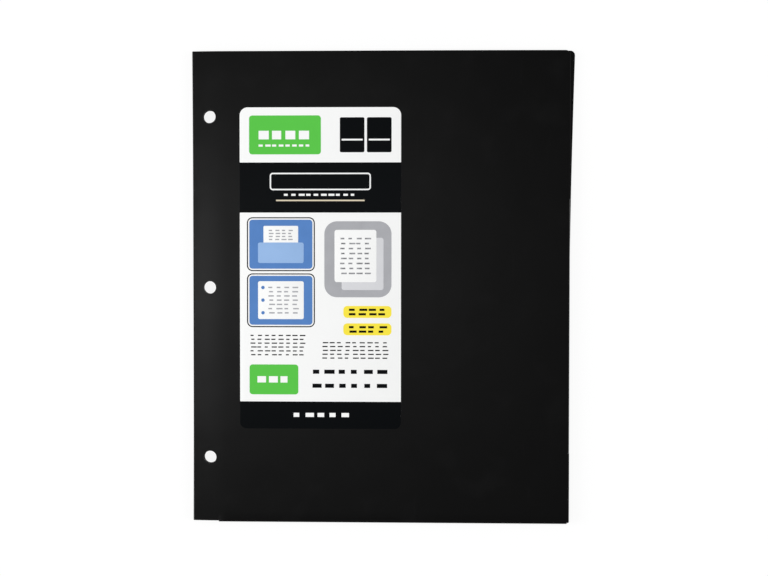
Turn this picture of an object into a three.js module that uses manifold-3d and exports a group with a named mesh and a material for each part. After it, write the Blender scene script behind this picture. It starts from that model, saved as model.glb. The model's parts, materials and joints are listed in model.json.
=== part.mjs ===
// A two-pocket folder of black plastic sheet, in millimetres, +Z up.
//
// It lies shut on its back cover: the spine is on the -X side, the fore edge on the +X side, the bottom
// fold on the -Y side and the top edge on the +Y side. The origin is under the middle of the folder.
//
// Each cover is one die-cut sheet. Its pocket is folded up from the bottom edge and welded to the cover at
// both sides, and its stay-put tab is folded in from the fore edge, over the mouth of the pocket. A narrow
// spine strip joins the two covers at a crease on each side. A paper label is stuck to the front cover.

import * as THREE from "three";
import { mergeVertices } from "three/addons/utils/BufferGeometryUtils.js";
import Module from "manifold-3d";

// Whole folder
const FOLDER_WIDTH = 238.1; // from the spine's outer face to the fore edge
const FOLDER_HEIGHT = 298.45; // from the bottom fold to the top edge
const SHEET = 0.5; // thickness of the plastic sheet
const TOP_CORNER_RADIUS = 3; // cover corner at the top of the fore edge
const BOTTOM_CORNER_RADIUS = 0.8; // cover corner at the bottom of the fore edge

// Clear gaps between the layers of the shut folder
const POCKET_GAP = 0.45; // between a cover and its pocket panel
const TAB_GAP = 0.2; // between a pocket panel and the tab over it
const CLOSED_GAP = 0.46; // between the back cover's tab and the front cover's tab

// Spine
const SHOULDER_LENGTH = 22; // stretch beside the spine over which a cover curves inwards
const SHOULDER_RISE = 1; // how far a cover has curved inwards at its crease
const CREASE_CLEARANCE = 0.1; // between a cover's edge and the rounded edge of the spine strip

// Binder holes
const HOLE_DIAMETER = 7.94;
const HOLE_COUNT = 3;
const HOLE_SPACING = 107.95; // centre to centre
const HOLE_MARGIN = 10.6; // from the spine's outer face to a hole's centre

// Pockets
const POCKET_HEIGHT = 115; // from the bottom fold to the pocket's mouth
const POCKET_MARGIN = 16; // from the spine's outer face to the pocket's inner side
const POCKET_INNER_CORNER = 12; // radius of the mouth's corner beside the binder holes
const POCKET_OUTER_CORNER = 2; // radius of the mouth's corner beside the fore edge
const POCKET_SIDE_CLEARANCE = 0.3; // between the pocket panel and the fold of the tab
const WELD_WIDTH = 2; // width of the weld down each side of a pocket

// Stay-put tabs
const TAB_WIDTH = 38; // from the fore edge to the tab's free edge
const TAB_START = 45; // from the bottom fold to the lower end of the tab's fold
const TAB_LENGTH = 160; // length of the tab's fold
const TAB_SLANT = 28; // how much each slanted end takes off the free edge
const TAB_CORNER = 5; // radius of the tab's free corners

// Label
const LABEL_WIDTH = 102;
const LABEL_HEIGHT = 203.2;
const LABEL_THICKNESS = 0.12;
const LABEL_LEFT = 29.9; // from the spine's outer face to the label
const LABEL_DROP = 35.5; // from the top edge to the label
const LABEL_TOP_RADIUS = 5;
const LABEL_BOTTOM_RADIUS = 4;
const INK_THICKNESS = 0.05;

// Printed fields of the label, measured down and across from its top left corner
const HEADER_HEIGHT = 34.7; // white field at the top
const BAND_HEIGHT = 31.6; // black band below it
const FOOT_HEIGHT = 17.2; // black field at the bottom
const FIELD_MARGIN = 6; // between a printed field and the label's edge
const HEADER_GAP = 12; // between the upper green block and the folder sign
const COLUMN_GAP = 7.6; // between the blue panels and the fields to their right
const BLOCK_RADIUS = 2; // corners of the printed blocks
const HEADER_BLOCK_HEIGHT = 24.5; // green
const FOOT_BLOCK = { width: 31, height: 19 }; // green
const FOOT_BLOCK_LIFT = 4.5; // between the lower green block and the black foot
const NAME_BOX = { width: 64, height: 11, line: 0.9, drop: 6.5 }; // white frame on the black band
const RULE = { width: 56, height: 0.9, drop: 23.5 }; // beige line on the black band
const PANEL = { width: 40, height: 31, drop: 4.5, pitch: 35.5 }; // blue panels on the white body
const SHADE_PATCH = { height: 48, drop: 5.5, radius: 8 }; // grey field on the white body
const MARK = { inset: 12, height: 7.5, radius: 2.5, drop: 59, pitch: 11 }; // yellow marker strokes
const MARK_COUNT = 2;
const PANEL_COUNT = 2;
const PAGE = { width: 15.5, height: 22, radius: 1, gap: 1.6 }; // each half of the black folder sign
const PAGE_SLIT = { rise: 8.5, margin: 1.1, height: 1.1 }; // its pocket's mouth, left white

// Construction
const ARC_SEGMENTS = 6; // straight steps in a curve, and half the steps in an arc
const HOLE_SEGMENTS = 40;
const OVERRUN = 1; // how far a blank or a cutter runs past the face that it is cut to
const WELD_BITE = 0.1; // how far a weld reaches into the two layers that it joins

// Levels of the back cover's layers, from the table up
const POCKET_LEVEL = SHEET + POCKET_GAP;
const TAB_LEVEL = POCKET_LEVEL + SHEET + TAB_GAP;
const HALF_THICKNESS = TAB_LEVEL + SHEET;
const CLOSED_THICKNESS = 2 * HALF_THICKNESS + CLOSED_GAP;

// Outer radii of the two half-round folds
const POCKET_FOLD_RADIUS = (POCKET_LEVEL + SHEET) / 2;
const TAB_FOLD_RADIUS = HALF_THICKNESS / 2;

// Edges and lines of the folder's plan
const SPINE_FACE = -FOLDER_WIDTH / 2;
const FORE_EDGE = FOLDER_WIDTH / 2;
const TOP_EDGE = FOLDER_HEIGHT / 2;
const BOTTOM_FOLD = -FOLDER_HEIGHT / 2;
const COVER_BOTTOM = BOTTOM_FOLD + POCKET_FOLD_RADIUS;
const COVER_FORE = FORE_EDGE - TAB_FOLD_RADIUS;
const CREASE_X = SPINE_FACE + SHEET / 2;
const COVER_HINGE_EDGE = CREASE_X + SHEET / 2 + CREASE_CLEARANCE;
const SHOULDER_END = SPINE_FACE + SHOULDER_LENGTH;
const BACK_CREASE_LEVEL = SHOULDER_RISE + SHEET / 2;
const FRONT_CREASE_LEVEL = CLOSED_THICKNESS - BACK_CREASE_LEVEL;
const POCKET_START = SPINE_FACE + POCKET_MARGIN;
const POCKET_END = COVER_FORE - POCKET_SIDE_CLEARANCE;
const POCKET_MOUTH = BOTTOM_FOLD + POCKET_HEIGHT;
const TAB_LOW = BOTTOM_FOLD + TAB_START;
const TAB_HIGH = TAB_LOW + TAB_LENGTH;

const wasm = await Module();
wasm.setup();

// Materials

function finish(color, roughness) {
  return new THREE.MeshStandardMaterial({ color, roughness, metalness: 0 });
}

const blackSheet = finish(0x1b1b1c, 0.5);
const labelPaper = finish(0xf6f6f4, 0.4);
const blackInk = finish(0x10151a, 0.35);
const greenInk = finish(0x5ac456, 0.4);
const blueInk = finish(0x5784c4, 0.4);
const greyInk = finish(0xb9bac0, 0.4);
const yellowInk = finish(0xf3e36a, 0.4);
const beigeInk = finish(0xd9cdb4, 0.4);

// Solids: a closed three.js geometry becomes a solid to join or cut, and the result a geometry again

function solidOf(geometry) {
  const bare = geometry.clone();
  bare.deleteAttribute("normal");
  bare.deleteAttribute("uv");
  const merged = mergeVertices(bare);
  const vertProperties = new Float32Array(merged.attributes.position.array);
  const triVerts = new Uint32Array(merged.index.array);
  return new wasm.Manifold(new wasm.Mesh({ numProp: 3, vertProperties, triVerts }));
}

function geometryOf(solid) {
  const mesh = solid.getMesh();
  const geometry = new THREE.BufferGeometry();
  geometry.setAttribute("position", new THREE.BufferAttribute(mesh.vertProperties, 3));
  geometry.setIndex(new THREE.BufferAttribute(mesh.triVerts, 1));
  const faceted = geometry.toNonIndexed();
  faceted.computeVertexNormals();
  return faceted;
}

// Extrusions of a flat section along each axis

function extrude(section, depth) {
  return new THREE.ExtrudeGeometry(section, { depth, bevelEnabled: false, curveSegments: ARC_SEGMENTS });
}

// A section drawn in X and Z runs from y = low to y = high.
function alongY(section, low, high) {
  const turn = new THREE.Matrix4().makeBasis(
    new THREE.Vector3(1, 0, 0),
    new THREE.Vector3(0, 0, 1),
    new THREE.Vector3(0, -1, 0),
  );
  return extrude(section, high - low).applyMatrix4(turn).translate(0, high, 0);
}

// A section drawn in Y and Z runs from x = low to x = high.
function alongX(section, low, high) {
  const turn = new THREE.Matrix4().makeBasis(
    new THREE.Vector3(0, 1, 0),
    new THREE.Vector3(0, 0, 1),
    new THREE.Vector3(1, 0, 0),
  );
  return extrude(section, high - low).applyMatrix4(turn).translate(low, 0, 0);
}

// An outline drawn in X and Y becomes a tool that passes right through one half of the folder.
function throughHalf(outline) {
  return extrude(outline, HALF_THICKNESS + 2 * OVERRUN).translate(0, 0, -OVERRUN);
}

// Outline helpers

// A rectangle with a radius for its upper corners and one for its lower corners.
function roundedRectangle(left, bottom, right, top, upper, lower = upper) {
  const shape = new THREE.Shape();
  shape.moveTo(left + lower, bottom);
  shape.lineTo(right - lower, bottom);
  shape.absarc(right - lower, bottom + lower, lower, -Math.PI / 2, 0);
  shape.lineTo(right, top - upper);
  shape.absarc(right - upper, top - upper, upper, 0, Math.PI / 2);
  shape.lineTo(left + upper, top);
  shape.absarc(left + upper, top - upper, upper, Math.PI / 2, Math.PI);
  shape.lineTo(left, bottom + lower);
  shape.absarc(left + lower, bottom + lower, lower, Math.PI, 1.5 * Math.PI);
  return shape;
}

// A polygon whose corners each have their own radius, 0 for a sharp one: [[x, y, radius], ...].
function roundedPolygon(corners) {
  const shape = new THREE.Shape();
  const points = corners.map(([x, y]) => new THREE.Vector2(x, y));
  corners.forEach(([, , radius], i) => {
    const corner = points[i];
    const before = points.at(i - 1).clone().sub(corner).normalize();
    const after = points[(i + 1) % points.length].clone().sub(corner).normalize();
    const halfAngle = Math.acos(before.dot(after)) / 2;
    const cut = radius / Math.tan(halfAngle);
    const start = before.clone().multiplyScalar(cut).add(corner);
    if (i === 0) shape.moveTo(start.x, start.y);
    else shape.lineTo(start.x, start.y);
    if (radius === 0) return;
    const centre = before.clone().add(after).normalize();
    centre.multiplyScalar(radius / Math.sin(halfAngle)).add(corner);
    const end = after.clone().multiplyScalar(cut).add(corner);
    const startAngle = Math.atan2(start.y - centre.y, start.x - centre.x);
    const endAngle = Math.atan2(end.y - centre.y, end.x - centre.x);
    shape.absarc(centre.x, centre.y, radius, startAngle, endAngle, before.cross(after) > 0);
  });
  shape.closePath();
  return shape;
}

// One cover with its pocket and tab, lying on its outer face

// The cover's section, seen along the spine: flat, then curving inwards to the crease.
function coverSection() {
  const curve = (SHOULDER_END + COVER_HINGE_EDGE) / 2;
  const shape = new THREE.Shape();
  shape.moveTo(SHOULDER_END, 0);
  shape.lineTo(FORE_EDGE + OVERRUN, 0);
  shape.lineTo(FORE_EDGE + OVERRUN, SHEET);
  shape.lineTo(SHOULDER_END, SHEET);
  shape.quadraticCurveTo(curve, SHEET, COVER_HINGE_EDGE, SHEET + SHOULDER_RISE);
  shape.lineTo(COVER_HINGE_EDGE, SHOULDER_RISE);
  shape.quadraticCurveTo(curve, 0, SHOULDER_END, 0);
  return shape;
}

// The cover's cut edges. Along the tab they stop where the tab's fold begins.
function coverOutline() {
  return roundedPolygon([
    [COVER_HINGE_EDGE - OVERRUN, COVER_BOTTOM, 0],
    [FORE_EDGE, COVER_BOTTOM, BOTTOM_CORNER_RADIUS],
    [FORE_EDGE, TAB_LOW, 0],
    [COVER_FORE, TAB_LOW, 0],
    [COVER_FORE, TAB_HIGH, 0],
    [FORE_EDGE, TAB_HIGH, 0],
    [FORE_EDGE, TOP_EDGE, TOP_CORNER_RADIUS],
    [COVER_HINGE_EDGE - OVERRUN, TOP_EDGE, 0],
  ]);
}

function coverPanel() {
  const blank = alongY(coverSection(), COVER_BOTTOM - OVERRUN, TOP_EDGE + OVERRUN);
  return solidOf(blank).intersect(solidOf(throughHalf(coverOutline())));
}

// A sheet that turns back over the cover in a half round, drawn with the fold on the left: the fold's
// outer edge is at 0, the sheet's free edge at reach, and the top of the folded layer at two radii.
function foldSection(reach, radius) {
  const shape = new THREE.Shape();
  shape.moveTo(radius + OVERRUN, 0);
  shape.lineTo(radius + OVERRUN, SHEET);
  shape.lineTo(radius, SHEET);
  shape.absarc(radius, radius, radius - SHEET, -Math.PI / 2, Math.PI / 2, true);
  shape.lineTo(reach, 2 * radius - SHEET);
  shape.lineTo(reach, 2 * radius);
  shape.lineTo(radius, 2 * radius);
  shape.absarc(radius, radius, radius, Math.PI / 2, 1.5 * Math.PI);
  shape.closePath();
  return shape;
}

function pocketOutline() {
  return roundedPolygon([
    [POCKET_START, BOTTOM_FOLD - OVERRUN, 0],
    [POCKET_END, BOTTOM_FOLD - OVERRUN, 0],
    [POCKET_END, POCKET_MOUTH, POCKET_OUTER_CORNER],
    [POCKET_START, POCKET_MOUTH, POCKET_INNER_CORNER],
  ]);
}

// The weld down one side of a pocket, which closes the gap between pocket panel and cover.
function weld(left) {
  const strip = roundedRectangle(left, COVER_BOTTOM, left + WELD_WIDTH, POCKET_MOUTH, 0);
  return extrude(strip, POCKET_GAP + 2 * WELD_BITE).translate(0, 0, SHEET - WELD_BITE);
}

function pocket() {
  const folded = alongX(
    foldSection(POCKET_HEIGHT + OVERRUN, POCKET_FOLD_RADIUS),
    POCKET_START - OVERRUN,
    POCKET_END + OVERRUN,
  ).translate(0, BOTTOM_FOLD, 0);
  return solidOf(folded)
    .add(solidOf(weld(POCKET_START)))
    .add(solidOf(weld(POCKET_END - WELD_WIDTH)))
    .intersect(solidOf(throughHalf(pocketOutline())));
}

function tabOutline() {
  const free = FORE_EDGE - TAB_WIDTH;
  return roundedPolygon([
    [FORE_EDGE + OVERRUN, TAB_LOW, 0],
    [FORE_EDGE + OVERRUN, TAB_HIGH, 0],
    [COVER_FORE, TAB_HIGH, 0],
    [free, TAB_HIGH - TAB_SLANT, TAB_CORNER],
    [free, TAB_LOW + TAB_SLANT, TAB_CORNER],
    [COVER_FORE, TAB_LOW, 0],
  ]);
}

function tab() {
  const section = foldSection(TAB_WIDTH + OVERRUN, TAB_FOLD_RADIUS);
  const folded = alongY(section, TAB_LOW - OVERRUN, TAB_HIGH + OVERRUN);
  // A half turn brings the fold from the left to the fore edge, and the tab back to its own height.
  folded.rotateZ(Math.PI).translate(FORE_EDGE, TAB_LOW + TAB_HIGH, 0);
  return solidOf(folded).intersect(solidOf(throughHalf(tabOutline())));
}

function binderHole(index) {
  const centreY = (index - (HOLE_COUNT - 1) / 2) * HOLE_SPACING;
  const length = HALF_THICKNESS + 2 * OVERRUN;
  return new THREE.CylinderGeometry(HOLE_DIAMETER / 2, HOLE_DIAMETER / 2, length, HOLE_SEGMENTS)
    .rotateX(Math.PI / 2)
    .translate(SPINE_FACE + HOLE_MARGIN, centreY, HALF_THICKNESS / 2);
}

function coverGeometry() {
  let cover = coverPanel().add(pocket()).add(tab());
  for (let i = 0; i < HOLE_COUNT; i += 1) {
    cover = cover.subtract(solidOf(binderHole(i)));
  }
  return geometryOf(cover);
}

// The strip between the covers, upright when the folder is shut, with rounded edges on the two creases

function spineGeometry() {
  const radius = SHEET / 2;
  const section = new THREE.Shape();
  section.absarc(CREASE_X, BACK_CREASE_LEVEL, radius, Math.PI, 2 * Math.PI);
  section.absarc(CREASE_X, FRONT_CREASE_LEVEL, radius, 0, Math.PI);
  section.closePath();
  return alongY(section, COVER_BOTTOM, TOP_EDGE);
}

// Label and its print

// Plan positions of distances across and down from the label's top left corner.
const across = (distance) => SPINE_FACE + LABEL_LEFT + distance;
const down = (distance) => TOP_EDGE - LABEL_DROP - distance;

// A field of ink, drawn in plan, that lies on the label.
function inkField(outline) {
  return extrude(outline, INK_THICKNESS).translate(0, 0, CLOSED_THICKNESS + LABEL_THICKNESS);
}

// A rectangular field from its upper left corner, across and down the label.
function block(left, drop, width, height, radius) {
  return roundedRectangle(across(left), down(drop + height), across(left + width), down(drop), radius);
}

function labelOutline() {
  return roundedRectangle(
    across(0),
    down(LABEL_HEIGHT),
    across(LABEL_WIDTH),
    down(0),
    LABEL_TOP_RADIUS,
    LABEL_BOTTOM_RADIUS,
  );
}

const BODY_DROP = HEADER_HEIGHT + BAND_HEIGHT; // from the label's top to its white body
const FOOT_DROP = LABEL_HEIGHT - FOOT_HEIGHT; // from the label's top to its black foot
const RIGHT_MARGIN = LABEL_WIDTH - FIELD_MARGIN; // right edge of the printed fields
const RIGHT_COLUMN = FIELD_MARGIN + PANEL.width + COLUMN_GAP; // left edge of the right column
const SIGN_LEFT = RIGHT_MARGIN - 2 * PAGE.width - PAGE.gap; // left edge of the folder sign

function bandOutline() {
  const frameLeft = (LABEL_WIDTH - NAME_BOX.width) / 2;
  const ruleLeft = (LABEL_WIDTH - RULE.width) / 2;
  const band = block(0, HEADER_HEIGHT, LABEL_WIDTH, BAND_HEIGHT, 0);
  band.holes.push(block(ruleLeft, HEADER_HEIGHT + RULE.drop, RULE.width, RULE.height, 0));
  band.holes.push(
    block(frameLeft, HEADER_HEIGHT + NAME_BOX.drop, NAME_BOX.width, NAME_BOX.height, BLOCK_RADIUS),
  );
  return band;
}

// The black inside of the name box, which leaves the paper showing round it as a white frame.
function nameBoxOutline() {
  const { width, height, line, drop } = NAME_BOX;
  const left = (LABEL_WIDTH - width) / 2 + line;
  const radius = BLOCK_RADIUS - line;
  return block(left, HEADER_HEIGHT + drop + line, width - 2 * line, height - 2 * line, radius);
}

function footOutline() {
  return roundedRectangle(
    across(0),
    down(LABEL_HEIGHT),
    across(LABEL_WIDTH),
    down(FOOT_DROP),
    0,
    LABEL_BOTTOM_RADIUS,
  );
}

// One page of the open folder on the folder sign, with a slit for the mouth of its pocket.
function pageOutline(side) {
  const { width, height, radius, gap } = PAGE;
  const { rise, margin, height: slitHeight } = PAGE_SLIT;
  const left = side === "left" ? SIGN_LEFT : SIGN_LEFT + width + gap;
  const drop = (HEADER_HEIGHT - height) / 2;
  const page = block(left, drop, width, height, radius);
  page.holes.push(block(left + margin, drop + height - rise, width - 2 * margin, slitHeight, 0));
  return page;
}

function panelOutline(index) {
  return block(
    FIELD_MARGIN,
    BODY_DROP + PANEL.drop + index * PANEL.pitch,
    PANEL.width,
    PANEL.height,
    BLOCK_RADIUS,
  );
}

function markOutline(index) {
  const left = RIGHT_COLUMN + MARK.inset;
  const drop = BODY_DROP + MARK.drop + index * MARK.pitch;
  return block(left, drop, RIGHT_MARGIN - left, MARK.height, MARK.radius);
}

function shadeOutline() {
  const { height, drop, radius } = SHADE_PATCH;
  return block(RIGHT_COLUMN, BODY_DROP + drop, RIGHT_MARGIN - RIGHT_COLUMN, height, radius);
}

function headerBlockOutline() {
  const drop = (HEADER_HEIGHT - HEADER_BLOCK_HEIGHT) / 2;
  const width = SIGN_LEFT - HEADER_GAP - FIELD_MARGIN;
  return block(FIELD_MARGIN, drop, width, HEADER_BLOCK_HEIGHT, BLOCK_RADIUS);
}

function footBlockOutline() {
  const drop = FOOT_DROP - FOOT_BLOCK_LIFT - FOOT_BLOCK.height;
  return block(FIELD_MARGIN, drop, FOOT_BLOCK.width, FOOT_BLOCK.height, BLOCK_RADIUS);
}

function ruleOutline() {
  return block((LABEL_WIDTH - RULE.width) / 2, HEADER_HEIGHT + RULE.drop, RULE.width, RULE.height, 0);
}

// The scene graph

function piece(name, geometry, material) {
  const mesh = new THREE.Mesh(geometry, material);
  mesh.name = name;
  return mesh;
}

function labelGroup() {
  const label = new THREE.Group();
  const paper = extrude(labelOutline(), LABEL_THICKNESS).translate(0, 0, CLOSED_THICKNESS);
  label.add(piece("label_sheet", paper, labelPaper));
  label.add(piece("label_band_black", inkField(bandOutline()), blackInk));
  label.add(piece("label_name_box", inkField(nameBoxOutline()), blackInk));
  label.add(piece("label_rule_beige", inkField(ruleOutline()), beigeInk));
  label.add(piece("label_foot_black", inkField(footOutline()), blackInk));
  label.add(piece("label_block_green_upper", inkField(headerBlockOutline()), greenInk));
  label.add(piece("label_block_green_lower", inkField(footBlockOutline()), greenInk));
  label.add(piece("label_sign_left_page", inkField(pageOutline("left")), blackInk));
  label.add(piece("label_sign_right_page", inkField(pageOutline("right")), blackInk));
  label.add(piece("label_patch_grey", inkField(shadeOutline()), greyInk));
  for (let i = 0; i < PANEL_COUNT; i += 1) {
    label.add(piece(`label_panel_blue_${i + 1}`, inkField(panelOutline(i)), blueInk));
  }
  for (let i = 0; i < MARK_COUNT; i += 1) {
    label.add(piece(`label_mark_yellow_${i + 1}`, inkField(markOutline(i)), yellowInk));
  }
  return label;
}

// The front cover is the back cover's mirror image, turned over onto it.
function frontCover() {
  const cover = piece("front_cover", coverGeometry(), blackSheet);
  cover.scale.z = -1;
  cover.position.z = CLOSED_THICKNESS;
  return cover;
}

const folder = new THREE.Group();
folder.name = "pocket_folder";
folder.add(piece("back_cover", coverGeometry(), blackSheet));
folder.add(piece("spine_strip", spineGeometry(), blackSheet));
folder.add(frontCover());
folder.add(labelGroup());

export default folder;
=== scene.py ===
"""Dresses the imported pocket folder: its folded plastic covers, spine, label, print, studio and camera.

Sizes inside the classes are in millimetres, and each finished mesh is scaled to metres.
"""

import json
import logging
import math
from collections.abc import Callable, Iterable, Sequence
from dataclasses import dataclass, field
from enum import Enum

import bmesh
import bpy
from mathutils import Matrix, Vector, geometry


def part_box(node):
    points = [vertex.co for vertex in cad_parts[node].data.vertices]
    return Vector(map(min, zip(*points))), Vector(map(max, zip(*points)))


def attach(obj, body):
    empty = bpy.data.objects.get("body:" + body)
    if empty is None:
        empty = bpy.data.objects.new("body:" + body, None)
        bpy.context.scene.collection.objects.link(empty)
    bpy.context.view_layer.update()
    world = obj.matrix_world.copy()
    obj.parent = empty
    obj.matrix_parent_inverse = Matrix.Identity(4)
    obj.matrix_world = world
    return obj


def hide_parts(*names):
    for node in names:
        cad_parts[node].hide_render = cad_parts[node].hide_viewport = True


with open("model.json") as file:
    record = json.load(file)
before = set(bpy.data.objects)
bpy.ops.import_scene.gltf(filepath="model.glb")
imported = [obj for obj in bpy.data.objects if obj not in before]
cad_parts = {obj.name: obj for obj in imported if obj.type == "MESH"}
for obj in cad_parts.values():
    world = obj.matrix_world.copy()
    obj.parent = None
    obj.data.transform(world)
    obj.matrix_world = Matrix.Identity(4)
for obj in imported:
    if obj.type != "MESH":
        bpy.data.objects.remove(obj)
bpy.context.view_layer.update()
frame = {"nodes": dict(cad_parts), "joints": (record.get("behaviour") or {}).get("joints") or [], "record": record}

LOG = logging.getLogger("pocket_folder")
MM = 0.001
PHOTO_WIDTH_PX = 768
WHITE = (1.0, 1.0, 1.0, 1.0)

# Points and lines that are nearer to each other than this, in millimetres, are taken as one.
SAME_PLACE = 0.001

# The kind of filling that keeps to the edges it is given, as Blender numbers it.
FILL_INSIDE_EDGES = 2

# Places of the colours among the mix node's inputs, and of the result among its outputs.
MIX_COLOURS = (6, 7)
MIX_RESULT = 2


class Body(Enum):
    """The bodies of the folder that move against each other."""

    BACK = "back"
    SPINE = "spine"
    FRONT = "front"


class Slot(Enum):
    """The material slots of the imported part."""

    BLACK_SHEET = "black_sheet"
    LABEL_PAPER = "label_paper"
    BLACK = "ink_black"
    GREEN = "ink_green"
    BLUE = "ink_blue"
    GREY = "ink_grey"
    YELLOW = "ink_yellow"
    BEIGE = "ink_beige"


class Field(Enum):
    """Kinds of input that a node tree can have."""

    FLOAT = "NodeSocketFloat"
    WHOLE = "NodeSocketInt"
    VECTOR = "NodeSocketVector"
    MATERIAL = "NodeSocketMaterial"
    GEOMETRY = "NodeSocketGeometry"


# Node trees


class TreeBuilder:
    """Adds, sets and links the nodes of one tree."""

    def __init__(self, tree: bpy.types.NodeTree) -> None:
        """Takes the tree to fill.

        Args:
            tree: a shader or geometry node tree.
        """
        self.tree = tree

    def add(self, kind: str, inputs: dict | None = None, **settings) -> bpy.types.Node:
        """Adds one node.

        Args:
            kind: the node's type name.
            inputs: values for its inputs, by name or by index.
            **settings: values for its properties.

        Returns:
            The new node.
        """
        node = self.tree.nodes.new(kind)
        for name, value in settings.items():
            setattr(node, name, value)
        for key, value in (inputs or {}).items():
            self.feed(node.inputs[key], value)
        return node

    def feed(self, socket: bpy.types.NodeSocket, value: object) -> None:
        """Gives an input a value, or links it where the value is another node's output.

        Args:
            socket: the input.
            value: a plain value or an output socket.
        """
        if isinstance(value, bpy.types.NodeSocket):
            self.tree.links.new(value, socket)
        else:
            socket.default_value = value

    def compute(self, operation: str, first: object, second: object) -> bpy.types.NodeSocket:
        """Works out a value from two others.

        Args:
            operation: the kind of sum.
            first: a number or a socket.
            second: a number or a socket.

        Returns:
            The socket with the result.
        """
        return self.add("ShaderNodeMath", {0: first, 1: second}, operation=operation).outputs[0]

    def remap(
        self,
        value: bpy.types.NodeSocket,
        ends: tuple[float, float] = (0.0, 1.0),
        onto: tuple[float, float] = (0.0, 1.0),
    ) -> bpy.types.NodeSocket:
        """Stretches a range of values onto another, and cuts off what lies outside it.

        Args:
            value: the socket with the value.
            ends: the two ends of the range.
            onto: what they become.

        Returns:
            The socket with the result.
        """
        names = ("Value", "From Min", "From Max", "To Min", "To Max")
        inputs = dict(zip(names, (value, *ends, *onto)))
        return self.add("ShaderNodeMapRange", inputs).outputs[0]

    def noise(self, place: bpy.types.NodeSocket, scale: object, detail: float) -> bpy.types.NodeSocket:
        """Makes a cloudy pattern.

        Args:
            place: the socket with the place.
            scale: how many clouds there are in a unit of length.
            detail: how many finer layers it has.

        Returns:
            The socket with the pattern.
        """
        inputs = {"Vector": place, "Scale": scale, "Detail": detail}
        return self.add("ShaderNodeTexNoise", inputs).outputs[0]

    def bump(self, height: bpy.types.NodeSocket, depth: float, **under: object) -> bpy.types.NodeSocket:
        """Roughens the surface.

        Args:
            height: the socket with the pattern.
            depth: how deep the pattern goes, in metres.
            **under: as Normal, the socket of the surface that it lies on.

        Returns:
            The socket with the surface's direction.
        """
        inputs = {"Height": height, "Distance": depth, "Strength": 1.0, **under}
        return self.add("ShaderNodeBump", inputs).outputs[0]

    def declare(self, name: str, kind: Field, incoming: bool, default: object = None) -> None:
        """Gives the tree a named input or output.

        Args:
            name: the socket's name.
            kind: what it carries.
            incoming: True for an input.
            default: the input's value where nothing sets it.
        """
        way = "INPUT" if incoming else "OUTPUT"
        socket = self.tree.interface.new_socket(name, in_out=way, socket_type=kind.value)
        if default is not None:
            socket.default_value = default


def new_group(name: str, kind: str, inputs: dict, outputs: dict) -> tuple[TreeBuilder, bpy.types.Node]:
    """Starts a node group with named sockets.

    Args:
        name: the group's name.
        kind: ShaderNodeTree or GeometryNodeTree.
        inputs: kind and default of each input, by name.
        outputs: kind of each output, by name.

    Returns:
        The builder for the tree and its group input node.
    """
    builder = TreeBuilder(bpy.data.node_groups.new(name, kind))
    for label, (what, default) in inputs.items():
        builder.declare(label, what, True, default)
    for label, what in outputs.items():
        builder.declare(label, what, False)
    return builder, builder.add("NodeGroupInput")


@dataclass(frozen=True)
class SheetGrain:
    """Shader group: the fine grain that a plastic sheet is rolled with, and slow waves in the sheet."""

    name: str = "sheet_grain"
    wave_size: float = 0.035

    def build(self) -> bpy.types.NodeTree:
        """Makes the group, with a grain size in metres as input.

        Returns:
            The group, with the heights of the grain and of the waves as outputs.
        """
        tree, entry = new_group(
            self.name,
            "ShaderNodeTree",
            {"Grain Size": (Field.FLOAT, 0.0004)},
            {"Height": Field.FLOAT, "Waves": Field.FLOAT},
        )
        place = tree.add("ShaderNodeTexCoord").outputs["Object"]
        scale = tree.compute("DIVIDE", 1.0, entry.outputs["Grain Size"])
        size = {"Vector": place, "Scale": scale}
        cells = tree.add("ShaderNodeTexVoronoi", size, feature="SMOOTH_F1").outputs["Distance"]
        grain = tree.compute("MULTIPLY", cells, tree.noise(place, scale, 3.0))
        waves = tree.noise(place, 1 / self.wave_size, 1.0)
        tree.add("NodeGroupOutput", {"Height": grain, "Waves": waves})
        return tree.tree


@dataclass(frozen=True)
class HandlingMarks:
    """Shader group: faint rubs and hairline scratches from handling, as a mask."""

    name: str = "handling_marks"
    rub_range: tuple[float, float] = (0.55, 0.8)
    scratch_turns: tuple[float, ...] = (0.35, 1.3, 2.4)
    scratch_stretch: float = 26.0
    scratch_scale: float = 22.0
    scratch_range: tuple[float, float] = (0.7, 0.74)

    def build(self) -> bpy.types.NodeTree:
        """Makes the group, with the rubs' size in metres and their amount as inputs.

        Returns:
            The group, with a mask from 0 to 1 as output.
        """
        tree, entry = new_group(
            self.name,
            "ShaderNodeTree",
            {"Rub Size": (Field.FLOAT, 0.02), "Amount": (Field.FLOAT, 0.5)},
            {"Mask": Field.FLOAT},
        )
        place = tree.add("ShaderNodeTexCoord").outputs["Object"]
        scale = tree.compute("DIVIDE", 1.0, entry.outputs["Rub Size"])
        mask = tree.remap(tree.noise(place, scale, 5.0), self.rub_range)
        for turn in self.scratch_turns:
            turned = tree.add(
                "ShaderNodeMapping",
                {"Vector": place, "Rotation": (0, 0, turn), "Scale": (self.scratch_stretch, 1, 1)},
            )
            lines = tree.noise(turned.outputs[0], self.scratch_scale, 2.0)
            mask = tree.compute("MAXIMUM", mask, tree.remap(lines, self.scratch_range))
        amount = tree.compute("MULTIPLY", mask, entry.outputs["Amount"])
        tree.add("NodeGroupOutput", {"Mask": amount})
        return tree.tree


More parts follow.
